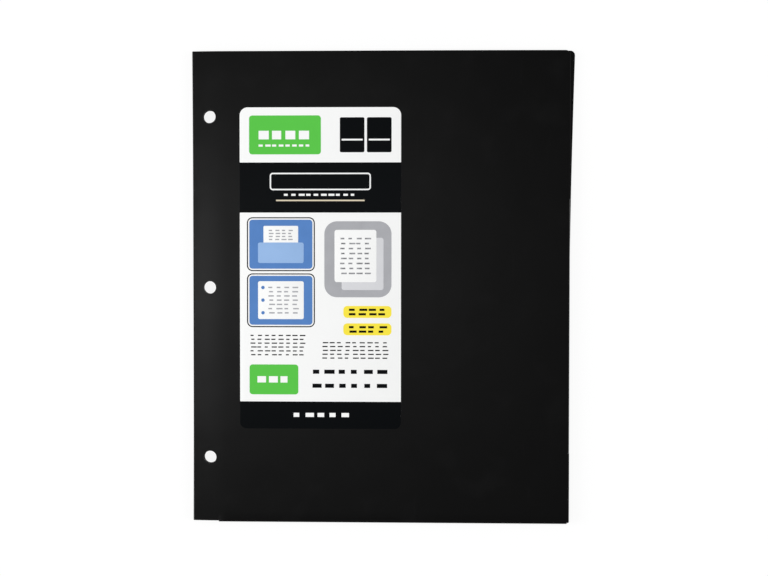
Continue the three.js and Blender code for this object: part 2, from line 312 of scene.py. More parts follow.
@dataclass(frozen=True)
class PaperFibre:
    """Shader group: the slight mottle of coated paper, under and through its print."""

    name: str = "paper_fibre"
    blotch_scale: float = 140.0

    def build(self) -> bpy.types.NodeTree:
        """Makes the group, with a fibre size in metres as input.

        Returns:
            The group, with a height and a mottle as outputs.
        """
        tree, entry = new_group(
            self.name,
            "ShaderNodeTree",
            {"Fibre Size": (Field.FLOAT, 0.0005)},
            {"Height": Field.FLOAT, "Mottle": Field.FLOAT},
        )
        place = tree.add("ShaderNodeTexCoord").outputs["Object"]
        scale = tree.compute("DIVIDE", 1.0, entry.outputs["Fibre Size"])
        fibre = tree.noise(place, scale, 4.0)
        blotch = tree.noise(place, self.blotch_scale, 3.0)
        tree.add("NodeGroupOutput", {"Height": fibre, "Mottle": blotch})
        return tree.tree


# Finishes


def blank_material(name: str) -> tuple[bpy.types.Material, TreeBuilder]:
    """Makes a material with an empty node tree.

    Args:
        name: the material's name.

    Returns:
        The material and a builder for its tree.
    """
    material = bpy.data.materials.new(name)
    material.use_nodes = True
    material.node_tree.nodes.clear()
    return material, TreeBuilder(material.node_tree)


def mixed(
    tree: TreeBuilder,
    share: bpy.types.NodeSocket,
    first: object,
    second: object,
) -> bpy.types.NodeSocket:
    """Mixes two colours.

    Args:
        tree: the builder of the material.
        share: the socket that says how much of the second colour shows.
        first: a colour or a socket.
        second: a colour or a socket.

    Returns:
        The socket with the mixed colour.
    """
    node = tree.add("ShaderNodeMix", {0: share}, data_type="RGBA")
    for place, colour in zip(MIX_COLOURS, (first, second)):
        plain = not isinstance(colour, bpy.types.NodeSocket)
        tree.feed(node.inputs[place], (*colour, 1) if plain else colour)
    return node.outputs[MIX_RESULT]


def close_material(
    tree: TreeBuilder,
    colour: bpy.types.NodeSocket,
    roughness: bpy.types.NodeSocket,
    normal: bpy.types.NodeSocket,
    refraction: float,
) -> None:
    """Ends a material's tree.

    Args:
        tree: the builder of the material.
        colour: the socket with the colour.
        roughness: the socket with the roughness.
        normal: the socket with the surface's direction.
        refraction: the refractive index.
    """
    look = {"Base Color": colour, "Roughness": roughness, "Normal": normal, "IOR": refraction}
    shader = tree.add("ShaderNodeBsdfPrincipled", look)
    tree.add("ShaderNodeOutputMaterial", {"Surface": shader.outputs[0]})


@dataclass(frozen=True)
class PlasticFinish:
    """Black polypropylene sheet: near black, softly glossy, finely grained and a little handled."""

    name: str
    dark: tuple[float, float, float] = (0.0009, 0.0009, 0.0010)
    light: tuple[float, float, float] = (0.0015, 0.0015, 0.0016)
    rubbed: tuple[float, float, float] = (0.0044, 0.0044, 0.0046)
    roughness: float = 0.31
    roughness_spread: float = 0.05
    refraction: float = 1.46
    grain_size: float = 0.00042
    grain_depth: float = 0.000008
    wave_depth: float = 0.0003
    marks: float = 0.5

    def build(self, grain: bpy.types.NodeTree, marks: bpy.types.NodeTree) -> bpy.types.Material:
        """Makes the material.

        Args:
            grain: the sheet grain group.
            marks: the handling marks group.

        Returns:
            The material.
        """
        material, tree = blank_material(self.name)
        texture = tree.add("ShaderNodeGroup", node_tree=grain)
        texture.inputs["Grain Size"].default_value = self.grain_size
        handled = tree.add("ShaderNodeGroup", node_tree=marks)
        handled.inputs["Amount"].default_value = self.marks
        tone = mixed(tree, texture.outputs["Waves"], self.dark, self.light)
        worn = mixed(tree, handled.outputs["Mask"], tone, self.rubbed)
        rougher = self.roughness + self.roughness_spread
        rough = tree.remap(handled.outputs["Mask"], onto=(self.roughness, rougher))
        waves = tree.bump(texture.outputs["Waves"], self.wave_depth)
        grained = tree.bump(texture.outputs["Height"], self.grain_depth, Normal=waves)
        close_material(tree, worn, rough, grained, self.refraction)
        return material


@dataclass(frozen=True)
class PrintFinish:
    """Coated paper, bare or printed with one flat ink, and handled a little."""

    name: str
    colour: tuple[float, float, float]
    roughness: float = 0.3
    roughness_spread: float = 0.06
    refraction: float = 1.24
    mottle: float = 0.05
    marks: float = 0.25
    fibre_size: float = 0.0006
    fibre_depth: float = 0.000006

    def build(self, fibre: bpy.types.NodeTree, marks: bpy.types.NodeTree) -> bpy.types.Material:
        """Makes the material.

        Args:
            fibre: the paper fibre group.
            marks: the handling marks group.

        Returns:
            The material.
        """
        material, tree = blank_material(self.name)
        paper = tree.add("ShaderNodeGroup", node_tree=fibre)
        paper.inputs["Fibre Size"].default_value = self.fibre_size
        handled = tree.add("ShaderNodeGroup", node_tree=marks)
        handled.inputs["Amount"].default_value = self.marks
        faded = tuple(c * (1 - self.mottle) for c in self.colour)
        tone = mixed(tree, paper.outputs["Mottle"], self.colour, faded)
        rougher = self.roughness + self.roughness_spread
        rough = tree.remap(handled.outputs["Mask"], onto=(self.roughness, rougher))
        fibres = tree.bump(paper.outputs["Height"], self.fibre_depth)
        close_material(tree, tone, rough, fibres, self.refraction)
        return material


class Ink(Enum):
    """Finishes of the label: its bare paper and its inks, each with the slot that it belongs to."""

    PAPER = ("label_paper", Slot.LABEL_PAPER)
    BLACK = ("print_black", Slot.BLACK)
    GREEN = ("print_green", Slot.GREEN)
    BLUE = ("print_blue", Slot.BLUE)
    PALE_BLUE = ("print_pale_blue", Slot.BLUE)
    GREY = ("print_grey", Slot.GREY)
    PALE_GREY = ("print_pale_grey", Slot.GREY)
    YELLOW = ("print_yellow", Slot.YELLOW)
    BEIGE = ("print_beige", Slot.BEIGE)

    @property
    def slot(self) -> Slot:
        """The record's slot for this ink."""
        return self.value[1]

    @classmethod
    def of_slot(cls, name: str) -> "Ink":
        """Returns the main ink of the slot with that name."""
        return next(ink for ink in cls if ink.slot.value == name)


INK_LOOKS = {
    Ink.PAPER: {"colour": (0.91, 0.915, 0.91), "mottle": 0.02},
    Ink.BLACK: {"colour": (0.0016, 0.0024, 0.0032), "roughness": 0.26, "roughness_spread": 0.04},
    Ink.GREEN: {"colour": (0.1, 0.55, 0.066)},
    Ink.BLUE: {"colour": (0.095, 0.231, 0.552), "mottle": 0.12},
    Ink.PALE_BLUE: {"colour": (0.30, 0.47, 0.76)},
    Ink.GREY: {"colour": (0.42, 0.425, 0.45), "mottle": 0.16},
    Ink.PALE_GREY: {"colour": (0.66, 0.665, 0.69)},
    Ink.YELLOW: {"colour": (0.93, 0.775, 0.06)},
    Ink.BEIGE: {"colour": (0.694, 0.61, 0.456)},
}


@dataclass
class Finishes:
    """Every material of the folder."""

    cover: bpy.types.Material | None = None
    crease: bpy.types.Material | None = None
    weld: bpy.types.Material | None = None
    inks: dict[Ink, bpy.types.Material] = field(default_factory=dict)

    def build(self) -> "Finishes":
        """Makes the shared groups and the materials.

        Returns:
            The same finishes, filled.
        """
        marks = HandlingMarks().build()
        grain = SheetGrain().build()
        fibre = PaperFibre().build()
        creased = PlasticFinish("creased_plastic_sheet", light=(0.003, 0.003, 0.003))
        self.cover = PlasticFinish("black_plastic_sheet").build(grain, marks)
        self.crease = creased.build(grain, marks)
        self.weld = PlasticFinish("welded_plastic_sheet", roughness=0.28).build(grain, marks)
        for ink, look in INK_LOOKS.items():
            self.inks[ink] = PrintFinish(ink.value[0], **look).build(fibre, marks)
        return self


# Mesh helpers


@dataclass(frozen=True)
class Corner:
    """A corner of an outline, with the radius that rounds it."""

    x: float
    y: float
    radius: float = 0.0


def rounded_outline(corners: Sequence[Corner], steps: int = 6) -> list[Vector]:
    """Rounds the corners of a polygon that runs anticlockwise.

    Args:
        corners: the corners in order.
        steps: straight steps in each rounded corner.

    Returns:
        The points of the outline.
    """
    points: list[Vector] = []
    for i, corner in enumerate(corners):
        here = Vector((corner.x, corner.y))
        if corner.radius == 0:
            points.append(here)
            continue
        last, following = corners[i - 1], corners[(i + 1) % len(corners)]
        before = (Vector((last.x, last.y)) - here).normalized()
        after = (Vector((following.x, following.y)) - here).normalized()
        half = before.angle(after) / 2
        cut = corner.radius / math.tan(half)
        centre = here + (before + after).normalized() * (corner.radius / math.sin(half))
        start, end = here + before * cut - centre, here + after * cut - centre
        first = math.atan2(start.y, start.x)
        sweep = (math.atan2(end.y, end.x) - first + math.pi) % (2 * math.pi) - math.pi
        for k in range(steps + 1):
            turn = first + sweep * k / steps
            points.append(centre + corner.radius * Vector((math.cos(turn), math.sin(turn))))
    return points


def ring_outline(x: float, y: float, radius: float, steps: int = 48) -> list[Vector]:
    """Returns the points of a circle."""
    turns = (2 * math.pi * k / steps for k in range(steps))
    return [Vector((x + radius * math.cos(t), y + radius * math.sin(t))) for t in turns]


def spread(start: float, end: float, pitch: float) -> list[float]:
    """Returns evenly spaced values from start to end, about pitch apart."""
    count = max(1, round(abs(end - start) / pitch))
    return [start + (end - start) * k / count for k in range(count + 1)]


def filled_up(lines: Sequence[float], more: Iterable[float], gap: float = 0.5) -> list[float]:
    """Adds lines to a grid where they don't crowd the ones that it has.

    Args:
        lines: places of the lines that the shape needs.
        more: places of the lines that fill up the grid.
        gap: how near a line may come to one of the first.

    Returns:
        The places of all lines.
    """
    return [*lines, *(place for place in more if min(abs(place - line) for line in lines) > gap)]


def in_order(places: Iterable[float], digits: int = 4) -> list[float]:
    """Returns places in order, each once, rounded so that equal ones are found."""
    return sorted({round(place, digits) for place in places})


def loop_edges(loops: Sequence[Sequence[Vector]]) -> list[tuple[int, int]]:
    """Closes each loop of points with edges.

    Args:
        loops: the loops.

    Returns:
        The ends of each edge, as numbers of points counted through all loops.
    """
    edges = []
    first = 0
    for loop in loops:
        edges += [(first + k, first + (k + 1) % len(loop)) for k in range(len(loop))]
        first += len(loop)
    return edges


def gridded_plate(
    loops: Sequence[Sequence[Vector]],
    u_lines: Iterable[float] = (),
    v_lines: Iterable[float] = (),
    overhang: float = 1.0,
) -> bmesh.types.BMesh:
    """Fills an outline with holes, and cuts it along a grid so that it can bend smoothly.

    Args:
        loops: the outline and the holes in it.
        u_lines: places of the cuts across X.
        v_lines: places of the cuts across Y.
        overhang: how far the cuts reach past the outline.

    Returns:
        A flat mesh that faces up.
    """
    points = [point for loop in loops for point in loop]
    edges = loop_edges(loops)
    ends = min(min(p) for p in points) - overhang, max(max(p) for p in points) + overhang
    cuts = in_order(u_lines), in_order(v_lines)
    for axis, places in enumerate(cuts):
        for place in places:
            edges.append((len(points), len(points) + 1))
            points += [Vector((end, place) if axis else (place, end)) for end in ends]
    filling = geometry.delaunay_2d_cdt(points, edges, [], FILL_INSIDE_EDGES, SAME_PLACE, False)
    corners, cells = filling[0], filling[2]
    plate = bmesh.new()
    verts = [plate.verts.new((p.x, p.y, 0.0)) for p in corners]
    for cell in cells:
        if encloses(loops, inner_point([corners[i] for i in cell])):
            plate.faces.new([verts[i] for i in cell])
    bmesh.ops.delete(plate, geom=[v for v in plate.verts if not v.link_faces], context="VERTS")
    dissolve_inside(plate, cuts)
    for face in plate.faces:
        face.normal_update()
        if face.normal.z < 0:
            face.normal_flip()
    return plate


def dissolve_inside(plate: bmesh.types.BMesh, cuts: tuple[list[float], list[float]]) -> None:
    """Removes the edges inside the cells of a grid, which the filling left.

    Places are compared to two decimals, so a line halfway between two of them can be lost too.

    Args:
        plate: the flat mesh, changed in place.
        cuts: places of the grid's lines across X and across Y.
    """
    known = [in_order(places, digits=2) for places in cuts]

    def on_line(edge: bmesh.types.BMEdge) -> bool:
        """Says whether an edge lies on a grid line.

        Args:
            edge: the edge.

        Returns:
            True where both its ends have the place of one line.
        """
        ends = zip(*(vert.co.xy for vert in edge.verts))
        return any(
            abs(a - b) < SAME_PLACE and round(a, 2) in places for (a, b), places in zip(ends, known)
        )

    loose = [e for e in plate.edges if len(e.link_faces) == 2 and not on_line(e)]
    bmesh.ops.dissolve_edges(plate, edges=loose, use_verts=False, use_face_split=False)


def inner_point(polygon: Sequence[Vector]) -> Vector:
    """Finds a point well inside a flat polygon.

    Args:
        polygon: its corners in order.

    Returns:
        The middle of the largest triangle that it can be split into.
    """
    split = geometry.tessellate_polygon([[corner.to_3d() for corner in polygon]])
    triangles = ([polygon[i] for i in corners] for corners in split)
    a, b, c = max(triangles, key=lambda triangle: geometry.area_tri(*triangle))
    return (a + b + c) / 3


def encloses(loops: Iterable[Sequence[Vector]], point: Vector) -> bool:
    """Says whether a point lies in an outline and outside the holes in it.

    Args:
        loops: the outline and the holes.
        point: the point.

    Returns:
        True where a ray from the point crosses the loops an odd number of times.
    """
    inside = False
    for loop in loops:
        for k, end in enumerate(loop):
            start = loop[k - 1]
            if (start.y > point.y) != (end.y > point.y):
                reach = start.x + (end.x - start.x) * (point.y - start.y) / (end.y - start.y)
                inside ^= reach > point.x
    return inside


@dataclass(frozen=True)
class Rim:
    """A chamfer round both faces of a sheet, as its cut edge has.

    Attributes:
        width: how far it reaches over each face.
        share: how deep it goes, as a share of the sheet's thickness.
        uncut: edges wholly before this place in X get none, because the sheet's end is round there.
        straight: sine of the turn up to which two sides of the outline count as one straight line.
    """

    width: float = 0.0
    share: float = 0.0
    uncut: float = -math.inf
    straight: float = 0.02

    def steps(self) -> list[tuple[float, float]]:
        """Lists the rows of points that the cut edge has, from the outer face to the inner one.

        Returns:
            How far in each row lies, and how deep, from 0 outside to 1 inside.
        """
        if self.width == 0:
            return [(0.0, 0.0), (0.0, 1.0)]
        return [(self.width, 0.0), (0.0, self.share), (0.0, 1 - self.share), (self.width, 1.0)]

    def inward(self, edge: bmesh.types.BMEdge) -> tuple[Vector, float]:
        """Finds which way a boundary edge moves in.

        Args:
            edge: an edge of the flat plate with one face.

        Returns:
            Its direction in the plate, into the face, and 1, or 0 where it stays.
        """
        loop = edge.link_loops[0]
        start, end = loop.vert.co, loop.link_loop_next.vert.co
        along = (end - start).normalized()
        moves = 0.0 if max(start.x, end.x) < self.uncut else 1.0
        return Vector((-along.y, along.x)), moves

    def shift(self, vert: bmesh.types.BMVert) -> Vector:
        """Works out how a point of the outline moves when both its sides move in by 1.

        Args:
            vert: a point of the flat plate.

        Returns:
            Its step, which is nothing for a point inside the plate.
        """
        sides = [self.inward(edge) for edge in vert.link_edges if edge.is_boundary]
        if not sides:
            return Vector((0.0, 0.0))
        (first, near), (second, far) = sides
        turn = first.x * second.y - first.y * second.x
        if abs(turn) < self.straight:
            return (first * near + second * far) / 2
        return Vector((near * second.y - far * first.y, far * first.x - near * second.x)) / turn


def shell_from_plate(
    plate: bmesh.types.BMesh,
    place: Callable[[float, float, float], Vector],
    rim: Rim = Rim(),
    mirrored: bool = False,
) -> bmesh.types.BMesh:
    """Gives a flat plate its thickness and its cut edge, and bends it into place.

    Args:
        plate: the flat mesh, which this frees.
        place: says where a point of the sheet goes, from u, v and its depth, 0 outside and 1 inside.
        rim: the chamfer of its cut edge.
        mirrored: True where place turns the sheet into its mirror image.

    Returns:
        The closed shell.
    """
    shell = bmesh.new()
    plate.verts.index_update()
    rows: list[dict[int, bmesh.types.BMVert]] = [{} for _ in rim.steps()]
    for vert in plate.verts:
        shift = rim.shift(vert)
        for row, (inset, depth) in zip(rows, rim.steps()):
            if vert.is_boundary or depth in (0.0, 1.0):
                u, v = vert.co.xy + shift * inset
                row[vert.index] = shell.verts.new(place(u, v, depth))
    for face in plate.faces:
        ids = [v.index for v in face.verts]
        shell.faces.new([rows[-1][i] for i in ids])
        shell.faces.new([rows[0][i] for i in reversed(ids)])
    for edge in plate.edges:
        if edge.is_boundary:
            loop = edge.link_loops[0]
            a, b = loop.vert.index, loop.link_loop_next.vert.index
            for upper, lower in zip(rows, rows[1:]):
                shell.faces.new((upper[a], upper[b], lower[b], lower[a]))
    plate.free()
    if mirrored:
        bmesh.ops.reverse_faces(shell, faces=shell.faces[:])
    shell.normal_update()
    return shell


def split_many_sided(shell: bmesh.types.BMesh, most_sides: int = 4) -> None:
    """Splits faces with many sides into well-shaped triangles.

    Args:
        shell: the mesh, changed in place.
        most_sides: how many sides a face may keep.
    """
    many_sided = [face for face in shell.faces if len(face.verts) > most_sides]
    bmesh.ops.triangulate(shell, faces=many_sided, ngon_method="BEAUTY")


def soften_rims(shell: bmesh.types.BMesh, width: float, least_turn: float = math.radians(55)) -> None:
    """Bevels the cut edges of a shell.

    Args:
        shell: the mesh, changed in place.
        width: how far the bevel reaches.
        least_turn: the smallest turn between two faces that counts as a cut edge.
    """
    rims = [e for e in shell.edges if len(e.link_faces) == 2 and e.calc_face_angle(0.0) > least_turn]
    bmesh.ops.bevel(
        shell, geom=rims, offset=width, segments=2, profile=0.5, affect="EDGES", clamp_overlap=True
    )


def finished_piece(
    name: str,
    mesh: bpy.types.Mesh,
    body: Body,
    material: bpy.types.Material,
    smooth_to: float = math.radians(38),
) -> bpy.types.Object:
    """Scales a mesh to metres, shades it and rides it on its body.

    Args:
        name: the piece's name.
        mesh: the mesh, in millimetres and in place.
        body: the body that it moves with.
        material: its finish.
        smooth_to: the turn between two faces up to which the shading is smooth.

    Returns:
        The piece.
    """
    mesh.transform(Matrix.Scale(MM, 4))
    mesh.materials.clear()
    mesh.materials.append(material)
    mesh.polygons.foreach_set("use_smooth", [True] * len(mesh.polygons))
    mesh.set_sharp_from_angle(angle=smooth_to)
    piece = bpy.data.objects.new(name, mesh)
    bpy.context.scene.collection.objects.link(piece)
    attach(piece, body.value)
    LOG.info("%s: %d faces on %s", name, len(mesh.polygons), body.value)
    return piece


def mesh_of(name: str, shell: bmesh.types.BMesh) -> bpy.types.Mesh:
    """Turns a bmesh into a mesh, and frees it.

    Args:
        name: the mesh's name.
        shell: the bmesh.

    Returns:
        The mesh.
    """
    mesh = bpy.data.meshes.new(name)
    shell.to_mesh(mesh)
    shell.free()
    return mesh


def smoothstep(value: float) -> float:
    """Returns 0 below 0, 1 above 1, and a soft step between."""
    t = min(1.0, max(0.0, value))
    return t * t * (3 - 2 * t)


# The folder


@dataclass(frozen=True)
class FolderPlan:
    """Places that the folder's pieces share, in millimetres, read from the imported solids."""

    spine_face: float
    fore_edge: float
    bottom_fold: float
    top_edge: float
    sheet: float
    half_thickness: float
    closed_thickness: float
    crease_x: float
    back_crease: float
    front_crease: float
    hole_margin: float = 10.6
    hole_spacing: float = 107.95
    hole_radius: float = 3.97

    @classmethod
    def from_frame(cls) -> "FolderPlan":
        """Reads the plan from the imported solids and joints.

        Returns:
            The plan.
        """
        back_low, back_high = (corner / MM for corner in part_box("back_cover"))
        spine_low, spine_high = (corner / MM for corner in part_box("spine_strip"))
        creases = {joint["name"]: Vector(joint["pos_m"]) / MM for joint in frame["joints"]}
        return cls(
            spine_face=spine_low.x,
            fore_edge=back_high.x,
            bottom_fold=back_low.y,
            top_edge=back_high.y,
            sheet=spine_high.x - spine_low.x,
            half_thickness=back_high.z,
            closed_thickness=(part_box("front_cover")[1] / MM).z,
            crease_x=creases["back_crease"].x,
            back_crease=creases["back_crease"].z,
            front_crease=creases["front_crease"].z,
        )

    def holes(self) -> list[tuple[float, float]]:
        """Returns the centres of the three binder holes."""
        x = self.spine_face + self.hole_margin
        return [(x, step * self.hole_spacing) for step in (-1, 0, 1)]


@dataclass
class CoverSheet:
    """One cover: a die-cut blank, folded into a cover panel, a pocket and a stay-put tab."""

    plan: FolderPlan
    body: Body
    pocket_gap: float = 0.45
    pocket_height: float = 115.0
    pocket_margin: float = 16.0
    pocket_inner_corner: float = 12.0
    pocket_outer_corner: float = 2.0
    pocket_side_clearance: float = 0.3
    weld_width: float = 2.0
    weld_slope: float = 2.5
    weld_gap: float = 0.03
    tab_width: float = 38.0
    tab_start: float = 45.0
    tab_length: float = 160.0
    tab_slant: float = 28.0
    tab_corner: float = 5.0
    relief: float = 0.1
    top_corner: float = 3.0
    bottom_corner: float = 0.8
    shoulder_length: float = 22.0
    shoulder_rise: float = 1.0
    rim: float = 0.07
    grid_pitch: float = 6.0
    shoulder_pitch: float = 1.8
    fold_steps: int = 12
    crease_steps: int = 6
    crease_turn: float = math.radians(84)
    corner_sag: float = 0.0
    sag_start: tuple[float, float] = (28.0, 10.0)
    fore_drift: float = 0.0
    drift_start: float = -10.0
    settle_power: float = 1.5

    @property
    def pocket_fold(self) -> float:
        """Outer radius of the fold at the bottom of the pocket."""
        return (2 * self.plan.sheet + self.pocket_gap) / 2

    @property
    def tab_fold(self) -> float:
        """Outer radius of the fold at the side of the tab."""
        return self.plan.half_thickness / 2

    @property
    def cover_bottom(self) -> float:
        """Where the pocket's fold starts, in Y."""
        return self.plan.bottom_fold + self.pocket_fold

    @property
    def cover_fore(self) -> float:
        """Where the tab's fold starts, in X."""
        return self.plan.fore_edge - self.tab_fold

    @property
    def pocket_sides(self) -> tuple[float, float]:
        """The pocket's edges beside the spine and beside the fore edge."""
        return self.plan.spine_face + self.pocket_margin, self.cover_fore - self.pocket_side_clearance

    @property
    def tab_ends(self) -> tuple[float, float]:
        """The lower and upper end of the tab's fold."""
        low = self.plan.bottom_fold + self.tab_start
        return low, low + self.tab_length

    def arc_length(self, radius: float) -> float:
        """Returns the length of a half-round fold along the middle of the sheet."""
        return math.pi * (radius - self.plan.sheet / 2)

    def outline(self) -> list[Vector]:
        """Draws the outline of the flat blank, anticlockwise from the crease's lower end.

        Returns:
            The points of the outline.
        """
        plan = self.plan
        near, far = self.pocket_sides
        low, high = self.tab_ends
        bottom, fore = self.cover_bottom, self.cover_fore
        mouth = bottom - self.arc_length(self.pocket_fold)
        mouth -= plan.bottom_fold + self.pocket_height - bottom
        hem = fore + self.arc_length(self.tab_fold)
        free = hem + fore - (plan.fore_edge - self.tab_width)
        hinge = self.hinge_lines()[0]
        return rounded_outline(
            [
                Corner(hinge, bottom),
                Corner(near, bottom),
                Corner(near, mouth, self.pocket_inner_corner),
                Corner(far, mouth, self.pocket_outer_corner),
                Corner(far, bottom),
                Corner(plan.fore_edge, bottom, self.bottom_corner),
                Corner(plan.fore_edge, low - self.relief),
                Corner(fore, low - self.relief),
                Corner(fore, low),
                Corner(hem, low),
                Corner(free, low + self.tab_slant, self.tab_corner),
                Corner(free, high - self.tab_slant, self.tab_corner),
                Corner(hem, high),
                Corner(fore, high),
                Corner(fore, high + self.relief),
                Corner(plan.fore_edge, high + self.relief),
                Corner(plan.fore_edge, plan.top_edge, self.top_corner),
                Corner(hinge, plan.top_edge),
            ]
        )

    def hinge_lines(self) -> list[float]:
        """Spaces the grid lines that round the cover's end about the crease.

        Returns:
            The places of the lines in X, from the end inwards.
        """
        radius = self.plan.sheet / 2
        steps = self.crease_steps
        turns = (self.crease_turn * (1 - k / steps) for k in range(steps + 1))
        return [self.plan.crease_x - radius * math.sin(turn) for turn in turns]

    def fold_lines(self, start: float, radius: float, way: int) -> list[float]:
        """Spaces the grid lines across a fold.

        Args:
            start: where the fold starts on the blank.
            radius: the fold's outer radius.
            way: 1 where it runs up from there, -1 where it runs down.

        Returns:
            The places of the lines.
        """
        length = self.arc_length(radius)
        return [start + way * length * k / self.fold_steps for k in range(self.fold_steps + 1)]

    def blank(self) -> bmesh.types.BMesh:
        """Makes the flat blank, with its holes and a grid that is fine where it bends.

        Returns:
            The flat mesh.
        """
        plan = self.plan
        near, far = self.pocket_sides
        low, high = self.tab_ends
        shoulder = plan.spine_face + self.shoulder_length
        hinge = self.hinge_lines()
        tab = self.fold_lines(self.cover_fore, self.tab_fold, 1)
        pocket = self.fold_lines(self.cover_bottom, self.pocket_fold, -1)
        slope = self.weld_slope
        steps = (0, self.weld_width, self.weld_width + slope / 2, self.weld_width + slope)
        welds = [near + step for step in steps] + [far - step for step in steps]
        u_lines = [*hinge[1:], *welds, *tab]
        u_fill = spread(hinge[-1], shoulder, self.shoulder_pitch)
        u_fill += spread(shoulder, self.cover_fore, self.grid_pitch)
        u_fill += spread(tab[-1], tab[-1] + self.tab_width, self.grid_pitch)
        v_lines = [*pocket, low, high]
        v_fill = spread(self.cover_bottom, plan.top_edge, self.grid_pitch)
        v_fill += spread(pocket[-1], pocket[-1] - self.pocket_height, self.grid_pitch)
        loops = [self.outline()]
        for x, y in plan.holes():
            loops.append(ring_outline(x, y, plan.hole_radius))
            u_lines.append(x)
            v_lines.append(y)
        return gridded_plate(loops, filled_up(u_lines, u_fill), filled_up(v_lines, v_fill))

    def place(self, u: float, v: float, depth: float) -> Vector:
        """Folds a point of the blank into the shut folder.

        Args:
            u: its place across the blank.
            v: its place along the blank.
            depth: 0 on the outer face of the sheet, 1 on the inner face.

        Returns:
            Its place in the folder, in millimetres.
        """
        low, high = self.tab_ends
        if v < self.cover_bottom:
            point = self.on_pocket(u, v, depth)
        elif u > self.cover_fore and low - SAME_PLACE <= v <= high + SAME_PLACE:
            point = self.on_tab(u, v, depth)
        else:
            point = self.on_panel(u, v, depth)
        point = self.settle(point)
        if self.body is Body.FRONT:
            point.z = self.plan.closed_thickness - point.z
        return point

    def on_panel(self, u: float, v: float, depth: float) -> Vector:
        """Places a point of the cover panel: flat, curved inwards beside the spine, round at the crease.

        Args:
            u: its place across the blank.
            v: its place along the blank.
            depth: 0 on the outer face of the sheet, 1 on the inner face.

        Returns:
            Its place, with the outer face at a height of 0.
        """
        sheet = self.plan.sheet
        height = depth * sheet
        past = self.plan.crease_x - u
        if past > 0:
            half = math.sqrt(max(0.0, (sheet / 2) ** 2 - past**2))
            height = sheet / 2 + (2 * depth - 1) * half
        return Vector((u, v, height + self.shoulder(u)))

    def shoulder(self, u: float) -> float:
        """Works out how far the cover has curved inwards.

        Args:
            u: the place across the blank.

        Returns:
            The height gained there.
        """
        end = self.plan.spine_face + self.shoulder_length
        share = min(1.0, max(0.0, (end - u) / (end - self.plan.crease_x)))
        return self.shoulder_rise * share**2

    def on_pocket(self, u: float, v: float, depth: float) -> Vector:
        """Places a point of the pocket: round the bottom fold, then back up over the cover.

        Args:
            u: its place across the blank.
            v: its place along the blank.
            depth: 0 on the outer face of the sheet, 1 on the inner face.

        Returns:
            Its place, with the cover's outer face at a height of 0.
        """
        radius = self.pocket_fold
        run = self.cover_bottom - v
        length = self.arc_length(radius)
        if run < length:
            turn = math.pi * run / length
            reach = radius - depth * self.plan.sheet
            y, z = self.cover_bottom - math.sin(turn) * reach, radius - math.cos(turn) * reach
        else:
            y, z = self.cover_bottom + run - length, 2 * radius - depth * self.plan.sheet
        return Vector((u, y, z - self.weld_press(u, y)))

    def weld_press(self, u: float, y: float) -> float:
        """Works out how far the pocket is pressed down onto the cover, at and near its welded sides.

        Args:
            u: the place across the pocket.
            y: the place up the pocket.

        Returns:
            The height lost there.
        """
        near, far = self.pocket_sides
        inward = min(u - near, far - u)
        pressed = 1 - smoothstep((inward - self.weld_width) / self.weld_slope)
        rise = smoothstep((y - self.cover_bottom) / (2 * self.weld_slope))
        return (self.pocket_gap - self.weld_gap - self.shoulder(u)) * pressed * rise

    def on_tab(self, u: float, v: float, depth: float) -> Vector:
        """Places a point of the tab: round the fore edge, then back over the pocket.

        Args:
            u: its place across the blank.
            v: its place along the blank.
            depth: 0 on the outer face of the sheet, 1 on the inner face.

        Returns:
            Its place, with the cover's outer face at a height of 0.
        """
        radius = self.tab_fold
        run = u - self.cover_fore
        length = self.arc_length(radius)
        if run < length:
            turn = math.pi * run / length
            reach = radius - depth * self.plan.sheet
            return Vector((self.cover_fore + math.sin(turn) * reach, v, radius - math.cos(turn) * reach))
        return Vector((self.cover_fore - (run - length), v, 2 * radius - depth * self.plan.sheet))

    def settle(self, point: Vector) -> Vector:
        """Lets the free corner relax: the front one sags inwards, the back one drifts past it.

        Args:
            point: a place in the shut folder, changed in place.

        Returns:
            The same point.
        """
        plan = self.plan
        across = (point.x - self.sag_start[0]) / (plan.fore_edge - self.sag_start[0])
        along = (point.y - self.sag_start[1]) / (plan.top_edge - self.sag_start[1])
        if across > 0 and along > 0:
            point.z += self.corner_sag * (across * along) ** self.settle_power
        if self.fore_drift and point.y > self.drift_start:
            share = (point.y - self.drift_start) / (plan.top_edge - self.drift_start)
            width = (point.x - plan.crease_x) / (plan.fore_edge - plan.crease_x)
            point.x += self.fore_drift * share**self.settle_power * max(0.0, width)
        return point

    def build(self, finish: bpy.types.Material) -> bpy.types.Object:
        """Makes the cover and lets it stand for its solid.

        Args:
            finish: the sheet's material.

        Returns:
            The finished piece.
        """
        sheet = self.plan.sheet
        rim = Rim(self.rim, self.rim / sheet, uncut=self.plan.crease_x - sheet / 4)
        shell = shell_from_plate(self.blank(), self.place, rim, mirrored=self.body is Body.FRONT)
        split_many_sided(shell)
        name = f"{self.body.value}_cover_sheet"
        piece = finished_piece(name, mesh_of(name, shell), self.body, finish)
        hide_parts(f"{self.body.value}_cover")
        return piece


